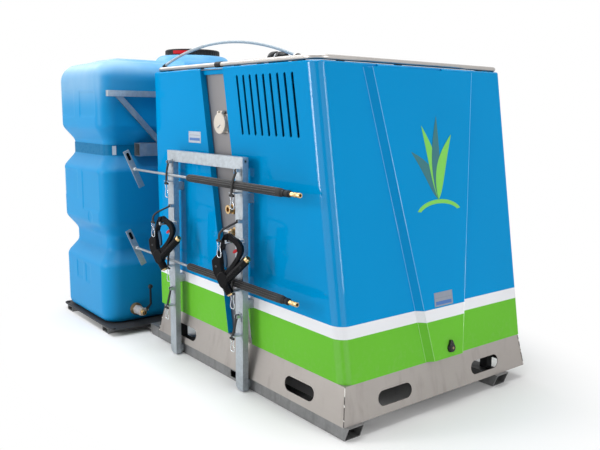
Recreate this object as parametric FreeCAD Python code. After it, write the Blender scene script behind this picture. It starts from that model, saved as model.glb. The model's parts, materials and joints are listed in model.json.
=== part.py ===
import FreeCAD, Part
import math
import os

# A skid-mounted pressure washer for weed control: a hooded machine on a
# stainless base, a water tank on a platform behind it, and a rack with two
# lances and two trigger guns on its front.
# All sizes are in millimetres. The model is laid out with x = 0 at the base's
# right bottom edge, y = 0 at its front bottom edge and z = 0 at its underside,
# and every piece is moved to the part's own origin when it is written.

# Base skirt
BASE_LENGTH = 1565.0
BASE_WIDTH = 1200.0
BASE_HEIGHT = 155.0
BASE_FLARE = 27.0
BASE_SHEET = 3.0
BASE_LIP = 34.0
SLOT_LENGTH = 200.0
SLOT_HEIGHT = 64.0
SLOT_CENTRE_Z = 65.0
SLOT_FROM_RIGHT = 300.0
SLOT_FROM_LEFT = 295.0
SLOT_FROM_SIDE = 300.0

# Skids under the base
SKID_HEIGHT = 60.0
SKID_WIDTH = 86.0
SKID_WALL = 4.0
SKID_FRONT_Y = 53.0
SKID_REAR_Y = 1009.0
SKID_FROM_LEFT = 220.0
SKID_OVERHANG = 18.0
SKID_END_SLANT = 23.0
SKID_NOTCH_LENGTH = 135.0
SKID_NOTCH_HEIGHT = 34.0
SKID_NOTCH_FROM_RIGHT = 700.0

# Deck inside the base
DECK_TUBE = 45.0
DECK_TUBE_WALL = 3.0
DECK_PLATE = 4.0
DECK_BLOCK = 40.0

# Hood
HOOD_HEIGHT = 1275.0
HOOD_RAKE = 215.0
HOOD_LEFT_OVERHANG = 52.0
HOOD_BACK_OVERHANG = 21.0
HOOD_LEFT_LEAN = 27.0
HOOD_SHEET = 4.0
HOOD_CORNER = 55.0
HOOD_SMALL_CORNER = 20.0
HOOD_FLANGE = 30.0
HOOD_BACK_FLANGE = 40.0
HOOD_LEFT_FLANGE = 75.0
HOOD_TOP_EDGE = 9.0
GAP_RIGHT_FROM_RIGHT = 676.0
GAP_WIDTH = 205.0
GAP_LEAN = 245.0
GAP_DEPTH = 30.0
HEADER_HEIGHT = 30.0
PANEL_SHEET = 3.0
ROOF_PLATE_DROP = 6.0

# Vent slots in the hood
VENT_COUNT = 9
VENT_PITCH = 51.0
VENT_WIDTH = 16.0
VENT_HEIGHT = 265.0
VENT_FROM_GAP = 112.0
VENT_FROM_TOP = 42.0

# Hatch door on the raked end
DOOR_PROUD = 28.0
DOOR_SHEET = 4.0
DOOR_BEVEL = 28.0
DOOR_TOP_WIDTH = 637.0
DOOR_BOTTOM_WIDTH = 188.0
DOOR_TOP_MARGIN = 18.0
DOOR_BOTTOM_MARGIN = 2.0
DOOR_SEAL_GAP = 0.5
DOOR_CENTRE_Y = 623.0
HATCH_MARGIN = 70.0
HINGE_PIN_RADIUS = 4.0
HINGE_KNUCKLE_RADIUS = 7.0
HINGE_KNUCKLE_LENGTH = 60.0
HINGE_FROM_CENTRE = 200.0
HINGE_CLEARANCE = 0.08
LATCH_RADIUS = 24.0
LATCH_PROUD = 20.0
LATCH_HEIGHT = 40.0
LATCH_OFFSET_Y = 14.0
LATCH_STEM_RADIUS = 7.0

# Rating plates
PLATE_THICKNESS = 1.0
FRONT_PLATE_WIDTH = 118.0
FRONT_PLATE_HEIGHT = 56.0
FRONT_PLATE_GAP_SIDE = 62.0
FRONT_PLATE_Z = 1098.0
DOOR_PLATE_WIDTH = 120.0
DOOR_PLATE_HEIGHT = 62.0
DOOR_PLATE_Z = 418.0
DOOR_PLATE_OFFSET_Y = -5.0

# Rail on the roof
RAIL_RADIUS = 11.0
RAIL_GAP = 2.0
RAIL_INSET = 15.0
RAIL_BACK_INSET = 10.0
RAIL_BEND = 60.0
RAIL_BACK_BEND = 32.0
STUD_LENGTH = 36.0
STUD_WIDTH = 14.0
STUD_FROM_GAP = 104.165
SLEEVE_LENGTH = 46.0
SLEEVE_WALL = 2.5

# Stiff air hose over the roof
ARCH_RADIUS = 6.0
ARCH_RISE = 88.0
ARCH_SPAN = 1106.0
ARCH_FROM_LEFT = 45.0
ARCH_START_FROM_RAIL = 18.0
ARCH_END_FROM_RAIL = 53.0
ARCH_ABOVE_RAIL = 16.0
FITTING_RADIUS = 10.0
FITTING_LENGTH = 56.0
ARCH_FOOT_RADIUS = 7.0

# Water tank
TANK_LENGTH = 680.0
TANK_WIDTH = 1562.0
TANK_HEIGHT = 1525.0
TANK_WALL = 8.0
TANK_CORNER = 95.0
TANK_LEAST_CORNER = 70.0
TANK_BOTTOM_EDGE = 45.0
TANK_TOP_EDGE = 110.0
TANK_CROWN = 22.0
TANK_CROWN_INSET = 200.0
WAIST_DEPTH = 60.0
WAIST_HEIGHT = 80.0
WAIST_SLOPE = 80.0
LOWER_WAIST_Z = 410.0
UPPER_WAIST_Z = 965.0
TANK_GAP = 248.0
DOME_RADIUS = 245.0
DOME_TOP_RADIUS = 205.0
DOME_HEIGHT = 69.0
NECK_RADIUS = 150.0
NECK_BORE = 140.0
NECK_HEIGHT = 30.0
LID_RADIUS = 175.0
LID_HEIGHT = 38.0
LID_CLEARANCE = 2.0
LID_TAB_WIDTH = 96.0
LID_TAB_THICKNESS = 9.0
BELT_WIDTH = 62.0
BELT_THICKNESS = 2.5

# Platform under the tank
PLATFORM_SHEET = 8.0
PLATFORM_MARGIN_X = 5.0
PLATFORM_MARGIN_Y = 14.0
PLATFORM_REACH = 105.0
PLATFORM_CORNER = 30.0
PLATFORM_TOP_Z = -20.0
PLATFORM_TUBE_WIDTH = 80.0
PLATFORM_TUBE_FROM_LEFT = 60.0
PLATFORM_TUBE_FROM_TANK = 20.0
PLATFORM_TUBE_WALL = 4.0
LINK_WIDTH = 68.0
LINK_LENGTH = 365.0
LINK_CORNER = 30.0
TONGUE_THICKNESS = 10.0
TONGUE_WIDTH = 50.0
SCREW_RADIUS = 11.0
SCREW_HEAD = 7.0
SCREW_INSET = 34.0

# Bracket that steadies the tank
BRACKET_BAR = 33.0
BRACKET_BAR_Z = 1303.0
BRACKET_BAR_INSET_Y = 32.0
BRACKET_TANK_GAP = 4.0
BRACKET_LOW_HEIGHT = 75.0
BRACKET_LOW_DEPTH = 73.0
BRACKET_LOW_START_Y = 45.0
BRACKET_BRACE_TOP_Y = -70.0
BRACKET_BRACE_LOW_Y = 182.0
BRACKET_BRACE_WIDTH = 45.0
BRACKET_POST = 60.0
BRACKET_POST_Y = 250.0
BRACKET_WALL = 3.0

# Tank outlet
OUTLET_Y = -2.0
OUTLET_Z = 58.0
OUTLET_PIPE_RADIUS = 14.0
OUTLET_FLANGE_RADIUS = 36.0
OUTLET_FLANGE_LENGTH = 16.0
OUTLET_NUT_RADIUS = 28.0
OUTLET_NUT_LENGTH = 22.0
VALVE_RADIUS = 25.0
VALVE_LENGTH = 46.0
OUTLET_TAIL = 36.0
STEM_RADIUS = 7.0
STEM_LENGTH = 20.0
LEVER_THICKNESS = 6.0
LEVER_WIDTH = 16.0
LEVER_OFFSET = 62.0
LEVER_KNEE = 50.0
LEVER_RISE = 150.0
LEVER_KNOB = 14.0
STEM_CLEARANCE = 0.05

# Connections in the service panel
SOCKET_FROM_TOP = 260.0
SOCKET_RADIUS = 41.0
SOCKET_PROUD = 14.0
FLAP_RADIUS = 49.0
FLAP_THICKNESS = 9.0
FLAP_GAP = 0.4
FLAP_PIN_RADIUS = 3.0
COUPLING_Z = 768.0
COUPLING_RADIUS = 21.0
COUPLING_PROUD = 34.0
COUPLING_HEX = 26.0
TAP_Z = 662.0
TAP_RADIUS = 14.0
TAP_PROUD = 26.0
TAP_LEVER_LENGTH = 72.0
TAP_LEVER_WIDTH = 11.0
TAP_LEVER_THICKNESS = 4.0

# Rack on the front
RACK_FRONT_Y = -40.0
RACK_DEPTH = 30.0
RACK_POST_WIDTH = 60.0
RACK_RIGHT_X = -652.0
RACK_SPAN = 698.0
RACK_TOP_Z = 1028.0
RACK_BAR_HEIGHT = 55.0
RACK_BOTTOM_Z = -56.0
RACK_WALL = 3.0
RACK_FOOT_RADIUS = 26.0
RACK_HOLE_RADIUS = 5.5
RACK_HOLE_DROP = 18.0
RACK_SPACER_HEIGHT = 40.0
RACK_SPACER_HALF = 16.0
RACK_SPACER_LOW_Z = -50.0

# Lances
LANCE_Y = -62.0
LANCE_HEIGHTS = {"upper": 905.0, "lower": 462.0}
PIPE_RADIUS = 6.5
PIPE_BORE = 4.0
PIPE_LEFT_X = -1706.0
GRIP_RADIUS = 18.0
GRIP_FLUTE_RADIUS = 2.6
GRIP_FLUTES = 12
GRIP_LEFT_X = {"upper": -1092.0, "lower": -1097.0}
GRIP_LENGTH = {"upper": 763.0, "lower": 782.0}
COLLAR_RADIUS = 15.0
COLLAR_LENGTH = {"upper": 57.0, "lower": 42.0}
NOZZLE_RADIUS = 10.5
NOZZLE_LENGTH = {"upper": 58.0, "lower": 48.0}
NOZZLE_BORE = 6.0
BAR_LENGTH = 222.0
BAR_WIDTH = 33.0
BAR_THICKNESS = 10.0
BAR_TILT = 24.0
BAR_SLOT_LENGTH = 30.0
BAR_SLOT_WIDTH = 12.0
BAR_SLOT_FROM_END = 30.0
FIT_GAP = 0.3

# Clamps on the rack
CLAMP_ANCHOR_Y = -58.0
CLAMP_PIN_RADIUS = 3.0
CLAMP_PIN_CLEARANCE = 0.08
CLAMP_EAR = 3.0
CLAMP_EAR_GAP = 17.0
STRAP_WIDTH = 16.0
STRAP_THICKNESS = 6.0
STRAP_HOLDER_RADIUS = 8.0
STRAP_SHOULDER = 8.0
TEE_RADIUS = 6.0
TEE_LENGTH = 34.0
KEEPER_THICKNESS = 4.0
KEEPER_WIDTH = 40.0
KEEPER_CLEARANCE = 4.0
BAIL_WIRE = 2.0
BAIL_WIDTH = 26.0
BAIL_END_WIDTH = 20.0
BAIL_LEAN = 2.0
LANCE_ANCHOR_RISE = 65.0
LANCE_TEE_DROP = 45.0
LANCE_BAIL_DROP = 60.0
GUN_ANCHOR_Z = 745.0
GUN_TEE_Z = 668.0
GUN_TEE_Y = -158.0
GUN_CLAMP_SHIFT = 12.0
GUN_BAIL_DROP = 62.0
SPARE_ANCHOR_Z = 305.0
SPARE_TEE_Z = 205.0
SPARE_TEE_Y = -84.0
SPARE_BAIL_DROP = 50.0

# Trigger guns, drawn in their own plane: u to the nozzle side, v upwards
GUN_TURN = 25.0
GUN_Y = -113.0
GUN_Z = 530.0
GUN_RIGHT_X = -640.0
GUN_SPACING = 620.0
GUN_SHELL = 34.0
GUN_GUARD = 24.0
GUN_SLEEVE_RADIUS = 19.0
GUN_BRASS_RADIUS = 15.0
GUN_BRASS_BORE = 9.0
GUN_NOSE_RADIUS = 20.0
TRIGGER_THICKNESS = 14.0
TRIGGER_PIN_RADIUS = 2.5
TRIGGER_CLEARANCE = 0.08
TRIGGER_TRAVEL = 10.0
SAFETY_THICKNESS = 8.0
HOOK_RADIUS = 5.0
HOOK_U = 2.0
HOOK_V = 130.0
HOOK_TIP = 12.0
HOOK_BAR_HEIGHT = 16.0
HOOK_BAR_THICKNESS = 6.0

# Machinery inside the hood
MOTOR_RADIUS = 120.0
MOTOR_LENGTH = 330.0
MOTOR_SHAFT_RADIUS = 14.0
MOTOR_SHAFT_LENGTH = 52.0
MOTOR_FINS = 24
MOTOR_FIN_DEPTH = 10.0
SHAFT_HEIGHT = 160.0
SHAFT_CLEARANCE = 0.05
HUB_RADIUS = 48.0
HUB_LENGTH = 100.0
PUMP_LENGTH = 220.0
PUMP_WIDTH = 210.0
PUMP_HEIGHT = 220.0
PUMP_HEAD_LENGTH = 120.0
MACHINE_X = -1480.0
MACHINE_Y = 330.0
BOILER_RADIUS = 220.0
BOILER_FROM_TOP = 420.0
BOILER_X = -380.0
BOILER_Y = 604.0
BOILER_BORE = 190.0
COIL_PITCH = 120.0
COIL_FROM_FLOOR = 60.0
COIL_FROM_TOP = 100.0
COIL_INSET = 40.0
COIL_RADIUS = 14.0
RISER_RADIUS = 10.0
BATTERY_LENGTH = 620.0
BATTERY_WIDTH = 420.0
BATTERY_HEIGHT = 480.0
BATTERY_X = -1500.0
BATTERY_Y = 660.0
CABINET_LENGTH = 300.0
CABINET_WIDTH = 180.0
CABINET_HEIGHT = 420.0

# Places that follow from the sizes above
BASE_LEFT_X = -BASE_LENGTH
BASE_TOP_Z = BASE_HEIGHT
HOOD_FRONT_Y = BASE_FLARE
HOOD_BACK_Y = BASE_WIDTH - BASE_FLARE + HOOD_BACK_OVERHANG
HOOD_TOP_Z = BASE_TOP_Z + HOOD_HEIGHT
HOOD_RIGHT_LOW_X = -BASE_FLARE
HOOD_RIGHT_TOP_X = HOOD_RIGHT_LOW_X - HOOD_RAKE
HOOD_LEFT_LOW_X = BASE_LEFT_X + BASE_FLARE - HOOD_LEFT_OVERHANG
HOOD_LEFT_TOP_X = HOOD_LEFT_LOW_X - HOOD_LEFT_LEAN
GAP_RIGHT_LOW_X = -GAP_RIGHT_FROM_RIGHT
GAP_RIGHT_TOP_X = GAP_RIGHT_LOW_X - GAP_LEAN
GAP_LEFT_LOW_X = GAP_RIGHT_LOW_X - GAP_WIDTH
GAP_LEFT_TOP_X = GAP_LEFT_LOW_X - GAP_LEAN
SOCKET_Z = HOOD_TOP_Z - SOCKET_FROM_TOP
PANEL_Y = HOOD_FRONT_Y + GAP_DEPTH
HOOD_MIRROR_Y = HOOD_FRONT_Y + HOOD_BACK_Y
PANEL_TOP_Z = HOOD_TOP_Z - HEADER_HEIGHT
RAKE_ANGLE = math.atan2(HOOD_RAKE, HOOD_HEIGHT)
RAIL_Z = HOOD_TOP_Z + RAIL_GAP + RAIL_RADIUS
RAIL_FRONT_Y = HOOD_FRONT_Y + RAIL_INSET
RAIL_BACK_Y = HOOD_BACK_Y - RAIL_BACK_INSET
RAIL_LEFT_X = HOOD_LEFT_TOP_X + RAIL_RADIUS
RAIL_RIGHT_X = HOOD_RIGHT_TOP_X - RAIL_INSET
TANK_RIGHT_X = HOOD_LEFT_TOP_X - TANK_GAP
TANK_LEFT_X = TANK_RIGHT_X - TANK_LENGTH
TANK_BOTTOM_Z = PLATFORM_TOP_Z
TANK_TOP_Z = TANK_BOTTOM_Z + TANK_HEIGHT
TANK_CENTRE_Y = BASE_WIDTH / 2 + 4.0
TANK_FRONT_Y = TANK_CENTRE_Y - TANK_WIDTH / 2
TANK_BACK_Y = TANK_CENTRE_Y + TANK_WIDTH / 2
TANK_CENTRE_X = (TANK_LEFT_X + TANK_RIGHT_X) / 2
DOME_TOP_Z = TANK_TOP_Z + DOME_HEIGHT
NECK_TOP_Z = DOME_TOP_Z + NECK_HEIGHT
PLATFORM_LEFT_X = TANK_LEFT_X - PLATFORM_MARGIN_X
PLATFORM_RIGHT_X = TANK_RIGHT_X + PLATFORM_REACH
PLATFORM_FRONT_Y = TANK_FRONT_Y - PLATFORM_MARGIN_Y
PLATFORM_BACK_Y = TANK_BACK_Y + PLATFORM_MARGIN_Y
PLATFORM_LOW_Z = PLATFORM_TOP_Z - PLATFORM_SHEET
FLOOR_Z = -SKID_HEIGHT
SKID_LEFT_X = BASE_LEFT_X + SKID_FROM_LEFT
LINK_LEFT_X = SKID_LEFT_X - LINK_LENGTH
PLATFORM_TUBE_RIGHT_X = TANK_RIGHT_X + PLATFORM_TUBE_FROM_TANK
DECK_TOP_Z = BASE_TOP_Z - BASE_SHEET - 2.0
DECK_TUBE_TOP_Z = DECK_TOP_Z - DECK_PLATE
DECK_TUBE_LOW_Z = DECK_TUBE_TOP_Z - DECK_TUBE
SHAFT_Z = DECK_TOP_Z + SHAFT_HEIGHT
RACK_BACK_Y = RACK_FRONT_Y + RACK_DEPTH
RACK_LEFT_X = RACK_RIGHT_X - RACK_SPAN
POST_CENTRES = {
    "left": RACK_LEFT_X + RACK_POST_WIDTH / 2,
    "right": RACK_RIGHT_X - RACK_POST_WIDTH / 2,
}
CLAMP_CENTRES = {
    "left": POST_CENTRES["left"] + 14.0,
    "right": POST_CENTRES["right"] + 8.0,
}
GUN_CENTRES = {
    "left": GUN_RIGHT_X - GUN_SPACING,
    "right": GUN_RIGHT_X,
}
NODES = {}


def vector(x, y, z):
    return FreeCAD.Vector(x, y, z)


def box(x0, x1, y0, y1, z0, z1):
    """A box between two corners."""
    return Part.makeBox(x1 - x0, y1 - y0, z1 - z0, vector(x0, y0, z0))


def cylinder(radius, start, end):
    """A solid cylinder from one point to another."""
    start = vector(*start)
    run = vector(*end) - start
    return Part.makeCylinder(radius, run.Length, start, run)


def tube(outer, inner, start, end):
    """A pipe with an open bore."""
    return cylinder(outer, start, end).cut(cylinder(inner, start, end))


def cone(radius_low, radius_high, start, end):
    """A truncated cone from one point to another."""
    start = vector(*start)
    run = vector(*end) - start
    return Part.makeCone(radius_low, radius_high, run.Length, start, run)


def ball(radius, centre):
    return Part.makeSphere(radius, vector(*centre))


def fuse(shapes):
    """One solid from several that meet."""
    return shapes[0].multiFuse(shapes[1:]).removeSplitter()


def outline(points):
    """A closed wire through points in space."""
    return Part.makePolygon([vector(*p) for p in points] + [vector(*points[0])])


def extrude_y(points, y0, y1):
    """A prism along Y over an outline of x, z points."""
    face = Part.Face(outline([(x, y0, z) for x, z in points]))
    return face.extrude(vector(0, y1 - y0, 0))


def extrude_x(points, x0, x1):
    """A prism along X over an outline of y, z points."""
    face = Part.Face(outline([(x0, y, z) for y, z in points]))
    return face.extrude(vector(x1 - x0, 0, 0))


def extrude_z(points, z0, z1):
    """A prism along Z over an outline of x, y points."""
    face = Part.Face(outline([(x, y, z0) for x, y in points]))
    return face.extrude(vector(0, 0, z1 - z0))


def rounded_rectangle(x0, x1, y0, y1, z, radius):
    """A level closed wire with four round corners."""
    slant = radius * (1 - math.sqrt(0.5))
    corners = [
        ((x0 + radius, y0), (x1 - radius, y0), (x1 - slant, y0 + slant), (x1, y0 + radius)),
        ((x1, y0 + radius), (x1, y1 - radius), (x1 - slant, y1 - slant), (x1 - radius, y1)),
        ((x1 - radius, y1), (x0 + radius, y1), (x0 + slant, y1 - slant), (x0, y1 - radius)),
        ((x0, y1 - radius), (x0, y0 + radius), (x0 + slant, y0 + slant), (x0 + radius, y0)),
    ]
    edges = []
    for start, end, middle, finish in corners:
        points = [vector(p[0], p[1], z) for p in (start, end, middle, finish)]
        edges.append(Part.LineSegment(points[0], points[1]).toShape())
        edges.append(Part.Arc(points[1], points[2], points[3]).toShape())
    return Part.Wire(edges)


def obround_y(x, z, length, height, y0, y1):
    """A bar along Y whose section is a level rounded slot."""
    radius = height / 2
    half = length / 2 - radius
    body = box(x - half, x + half, y0, y1, z - radius, z + radius)
    ends = [cylinder(radius, (x + s * half, y0, z), (x + s * half, y1, z)) for s in (-1, 1)]
    return fuse([body] + ends)


def obround_x(y, z, length, height, x0, x1):
    """A bar along X whose section is a level rounded slot."""
    radius = height / 2
    half = length / 2 - radius
    body = box(x0, x1, y - half, y + half, z - radius, z + radius)
    ends = [cylinder(radius, (x0, y + s * half, z), (x1, y + s * half, z)) for s in (-1, 1)]
    return fuse([body] + ends)


def bent_rod(points, radius):
    """A round rod through points, with ball corners."""
    pieces = [cylinder(radius, a, b) for a, b in zip(points, points[1:])]
    pieces += [ball(radius, p) for p in points[1:-1]]
    return fuse(pieces)


def near_edges(shape, test):
    """The edges whose two end points both pass a test."""
    found = []
    for edge in shape.Edges:
        ends = [vertex.Point for vertex in edge.Vertexes]
        if len(ends) == 2 and all(test(p) for p in ends):
            found.append(edge)
    return found


def add(node, *solids):
    NODES.setdefault(node, []).extend(solids)


# Base

def frustum(inset_low, inset_high, z_low, z_high):
    """The base's sloping block, drawn in from its outline at both levels."""
    wires = []
    for inset, z in ((inset_low, z_low), (inset_high, z_high)):
        x0, x1 = BASE_LEFT_X + inset, -inset
        y0, y1 = inset, BASE_WIDTH - inset
        wires.append(outline([(x0, y0, z), (x1, y0, z), (x1, y1, z), (x0, y1, z)]))
    return Part.makeLoft(wires, True, True)


def slot_places():
    """Centres of the fork slots along X and along Y."""
    along_x = (-SLOT_FROM_RIGHT, BASE_LEFT_X + SLOT_FROM_LEFT)
    along_y = (SLOT_FROM_SIDE, BASE_WIDTH - SLOT_FROM_SIDE)
    return along_x, along_y


def make_base_skirt():
    outer = frustum(0, BASE_FLARE, 0, BASE_TOP_Z)
    shell = outer.cut(frustum(BASE_SHEET, BASE_FLARE + BASE_SHEET, 0, BASE_TOP_Z))
    lips = []
    for z, inset in ((0, 1.0), (BASE_TOP_Z - BASE_SHEET, BASE_FLARE + 1.0)):
        x0, x1 = BASE_LEFT_X + inset, -inset
        y0, y1 = inset, BASE_WIDTH - inset
        plate = box(x0, x1, y0, y1, z, z + BASE_SHEET)
        hole = box(x0 + BASE_LIP, x1 - BASE_LIP, y0 + BASE_LIP, y1 - BASE_LIP, z, z + BASE_SHEET)
        lips.append(plate.cut(hole))
    skirt = fuse([shell] + lips)
    along_x, along_y = slot_places()
    for x in along_x:
        skirt = skirt.cut(obround_y(x, SLOT_CENTRE_Z, SLOT_LENGTH, SLOT_HEIGHT, -1, BASE_WIDTH + 1))
    for y in along_y:
        skirt = skirt.cut(obround_x(y, SLOT_CENTRE_Z, SLOT_LENGTH, SLOT_HEIGHT, BASE_LEFT_X - 1, 1))
    add("base_skirt", skirt)


def make_skid(centre_y, notched):
    """A box-section runner with a slanted right end."""
    y0, y1 = centre_y - SKID_WIDTH / 2, centre_y + SKID_WIDTH / 2
    right_low = SKID_OVERHANG - SKID_END_SLANT
    section = [(SKID_LEFT_X, FLOOR_Z), (right_low, FLOOR_Z), (SKID_OVERHANG, 0), (SKID_LEFT_X, 0)]
    bore = box(SKID_LEFT_X, SKID_OVERHANG, y0 + SKID_WALL, y1 - SKID_WALL,
               FLOOR_Z + SKID_WALL, -SKID_WALL)
    skid = extrude_y(section, y0, y1).cut(bore)
    if notched:
        x1 = -SKID_NOTCH_FROM_RIGHT
        z0 = FLOOR_Z + (SKID_HEIGHT - SKID_NOTCH_HEIGHT) / 2
        skid = skid.cut(box(x1 - SKID_NOTCH_LENGTH, x1, y0 - 1, y0 + SKID_WALL + 1,
                            z0, z0 + SKID_NOTCH_HEIGHT))
    return skid


def make_skids():
    add("skid_channels", make_skid(SKID_FRONT_Y, True), make_skid(SKID_REAR_Y, False))


def deck_tube(x0, x1, y0, y1):
    """A level box tube of the deck frame, hollow along its longer side."""
    wall = DECK_TUBE_WALL
    outer = box(x0, x1, y0, y1, DECK_TUBE_LOW_Z, DECK_TUBE_TOP_Z)
    if x1 - x0 > y1 - y0:
        bore = box(x0, x1, y0 + wall, y1 - wall, DECK_TUBE_LOW_Z + wall, DECK_TUBE_TOP_Z - wall)
    else:
        bore = box(x0 + wall, x1 - wall, y0, y1, DECK_TUBE_LOW_Z + wall, DECK_TUBE_TOP_Z - wall)
    return outer.cut(bore)


def deck_block_places():
    """Centres of the blocks that carry the deck on the runners."""
    slot = SLOT_LENGTH / 2 + DECK_BLOCK
    xs = (-SLOT_FROM_RIGHT + slot + 60.0, SKID_LEFT_X / 2 - 110.0, BASE_LEFT_X + SLOT_FROM_LEFT - slot)
    return xs, (SKID_FRONT_Y + 12.0, SKID_REAR_Y + 21.0)


def make_deck():
    reach = BASE_FLARE + BASE_SHEET + 2.0
    x0, x1 = BASE_LEFT_X + reach, -reach
    y0, y1 = reach, BASE_WIDTH - reach
    side = DECK_TUBE
    xs, ys = deck_block_places()
    tubes = [deck_tube(x0, x1, y - side / 2, y + side / 2) for y in ys]
    low = ys[0] + side / 2
    high = ys[1] - side / 2
    tubes += [deck_tube(x - side / 2, x + side / 2, low, high) for x in xs]
    tubes += [deck_tube(x - side / 2, x + side / 2, ys[1] + side / 2, y1 - BASE_SHEET) for x in xs]
    half = DECK_BLOCK / 2
    blocks = [box(x - half, x + half, y - half, y + half, 0, DECK_TUBE_LOW_Z) for x in xs for y in ys]
    add("deck_frame", *tubes, *blocks)
    add("deck_frame", box(x0, x1, y0, y1, DECK_TUBE_TOP_Z, DECK_TOP_Z))


# Hood

def gap_x(z, side):
    """Where the slanted gap's left or right edge lies at a height."""
    low = GAP_RIGHT_LOW_X if side == "right" else GAP_LEFT_LOW_X
    return low - GAP_LEAN * (z - BASE_TOP_Z) / HOOD_HEIGHT


def round_upright(shape, to_right, y, radius):
    """Round the outer upright edge of a cover at one depth."""
    uprights = [e for e in shape.Edges
                if abs(e.Vertexes[0].Z - e.Vertexes[-1].Z) > HOOD_HEIGHT / 2
                and all(abs(v.Y - y) < 0.01 for v in e.Vertexes)]
    pick = max if to_right else min
    return shape.makeFillet(radius, [pick(uprights, key=lambda e: e.BoundBox.Center.x)])


def hood_shell(low, top, to_right, front_corner, back_corner):
    """A sheet cover with a flange round its foot, open at its slanted side.

    low and top are its left and right edges at the base and at the roof, and
    to_right says that its outer end is the right one."""
    wall = HOOD_SHEET
    z0, z1 = BASE_TOP_Z, HOOD_TOP_Z
    y0, y1 = HOOD_FRONT_Y, HOOD_BACK_Y
    block = extrude_y([(low[0], z0), (low[1], z0), (top[1], z1), (top[0], z1)], y0, y1)
    block = round_upright(block, to_right, y0, front_corner)
    block = round_upright(block, to_right, y1, back_corner)
    slant_x = top[0] if to_right else top[1]
    brim = [e for e in near_edges(block, lambda p: abs(p.z - z1) < 0.01)
            if not all(abs(v.X - slant_x) < 0.01 for v in e.Vertexes)]
    block = block.makeFillet(HOOD_TOP_EDGE, brim)
    inner = extrude_y([(low[0] + wall, z0 + wall), (low[1] - wall, z0 + wall),
                       (top[1] - wall, z1 - wall), (top[0] + wall, z1 - wall)], y0 + wall, y1 - wall)
    inner = round_upright(inner, to_right, y0 + wall, front_corner - wall)
    inner = round_upright(inner, to_right, y1 - wall, back_corner - wall)
    foot_x0 = low[0] - 1 if to_right else low[0] + HOOD_LEFT_FLANGE
    foot_x1 = low[1] - HOOD_FLANGE if to_right else low[1] + 1
    foot = box(foot_x0, foot_x1, y0 + HOOD_FLANGE, y1 - HOOD_BACK_FLANGE, z0 - 1, z0 + wall + 1)
    depth = GAP_DEPTH
    side_low, side_top = (low[0], top[0]) if to_right else (low[1], top[1])
    reach = 60.0
    window = extrude_y([(side_low - reach, z0), (side_low + reach, z0),
                        (side_top + reach, z1 - depth), (side_top - reach, z1 - depth)],
                       y0 + depth, y1 - depth)
    return block.cut(inner).cut(foot).cut(window)


def vent_cutters():
    """Slanted round-ended slots, leaning with the gap."""
    radius = VENT_WIDTH / 2
    top_z = HOOD_TOP_Z - VENT_FROM_TOP - radius
    low_z = top_z - VENT_HEIGHT + 2 * radius
    cutters = []
    for index in range(VENT_COUNT):
        offset = VENT_FROM_GAP + index * VENT_PITCH
        top_x = gap_x(top_z, "right") + offset
        low_x = gap_x(low_z, "right") + offset
        points = [(low_x - radius, low_z), (low_x + radius, low_z),
                  (top_x + radius, top_z), (top_x - radius, top_z)]
        y0, y1 = HOOD_FRONT_Y - 1, HOOD_FRONT_Y + HOOD_SHEET + 1
        cutters.append(extrude_y(points, y0, y1))
        cutters.append(cylinder(radius, (low_x, y0, low_z), (low_x, y1, low_z)))
        cutters.append(cylinder(radius, (top_x, y0, top_z), (top_x, y1, top_z)))
    return cutters


def on_end(along, across, proud):
    """A point on the raked end, from its height up the slope, its y and its distance out."""
    sine, cosine = math.sin(RAKE_ANGLE), math.cos(RAKE_ANGLE)
    x = HOOD_RIGHT_LOW_X - along * sine + proud * cosine
    z = BASE_TOP_Z + along * cosine + proud * sine
    return (x, across, z)


END_SLOPE = HOOD_HEIGHT / math.cos(RAKE_ANGLE)


def door_half_width(along, foot):
    """Half the door's width at a height up the slope, at its flat or at its foot."""
    share = (along - DOOR_BOTTOM_MARGIN) / (END_SLOPE - DOOR_TOP_MARGIN - DOOR_BOTTOM_MARGIN)
    half = (DOOR_BOTTOM_WIDTH + (DOOR_TOP_WIDTH - DOOR_BOTTOM_WIDTH) * share) / 2
    return half + (DOOR_BEVEL if foot else 0)


def door_wire(proud, foot, inset, low, high):
    """A level outline of the door at one distance from the raked end."""
    points = []
    for along, sign in ((low, -1), (low, 1), (high, 1), (high, -1)):
        half = door_half_width(along, foot) - inset
        points.append(on_end(along, DOOR_CENTRE_Y + sign * half, proud))
    return outline(points)


def door_levels():
    return DOOR_BOTTOM_MARGIN, END_SLOPE - DOOR_TOP_MARGIN


def make_hood():
    rear = hood_shell((HOOD_LEFT_LOW_X, GAP_LEFT_LOW_X), (HOOD_LEFT_TOP_X, GAP_LEFT_TOP_X), False,
                      HOOD_SMALL_CORNER, HOOD_SMALL_CORNER)
    front = hood_shell((GAP_RIGHT_LOW_X, HOOD_RIGHT_LOW_X), (GAP_RIGHT_TOP_X, HOOD_RIGHT_TOP_X), True,
                       HOOD_CORNER, HOOD_SMALL_CORNER)
    for cutter in vent_cutters():
        front = front.cut(cutter)
    low, high = door_levels()
    wires = [door_wire(p, True, HATCH_MARGIN, low + HATCH_MARGIN, high - HATCH_MARGIN)
             for p in (-2 * HOOD_SHEET, HOOD_SHEET)]
    front = front.cut(Part.makeLoft(wires, True, True))
    add("hood_rear", rear)
    add("hood_front", front)


def gap_block(y0, y1, z0, z1):
    """A block that fills the slanted gap between two depths and two heights."""
    points = [(gap_x(z0, "left"), z0), (gap_x(z0, "right"), z0),
              (gap_x(z1, "right"), z1), (gap_x(z1, "left"), z1)]
    return extrude_y(points, y0, y1)


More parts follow.
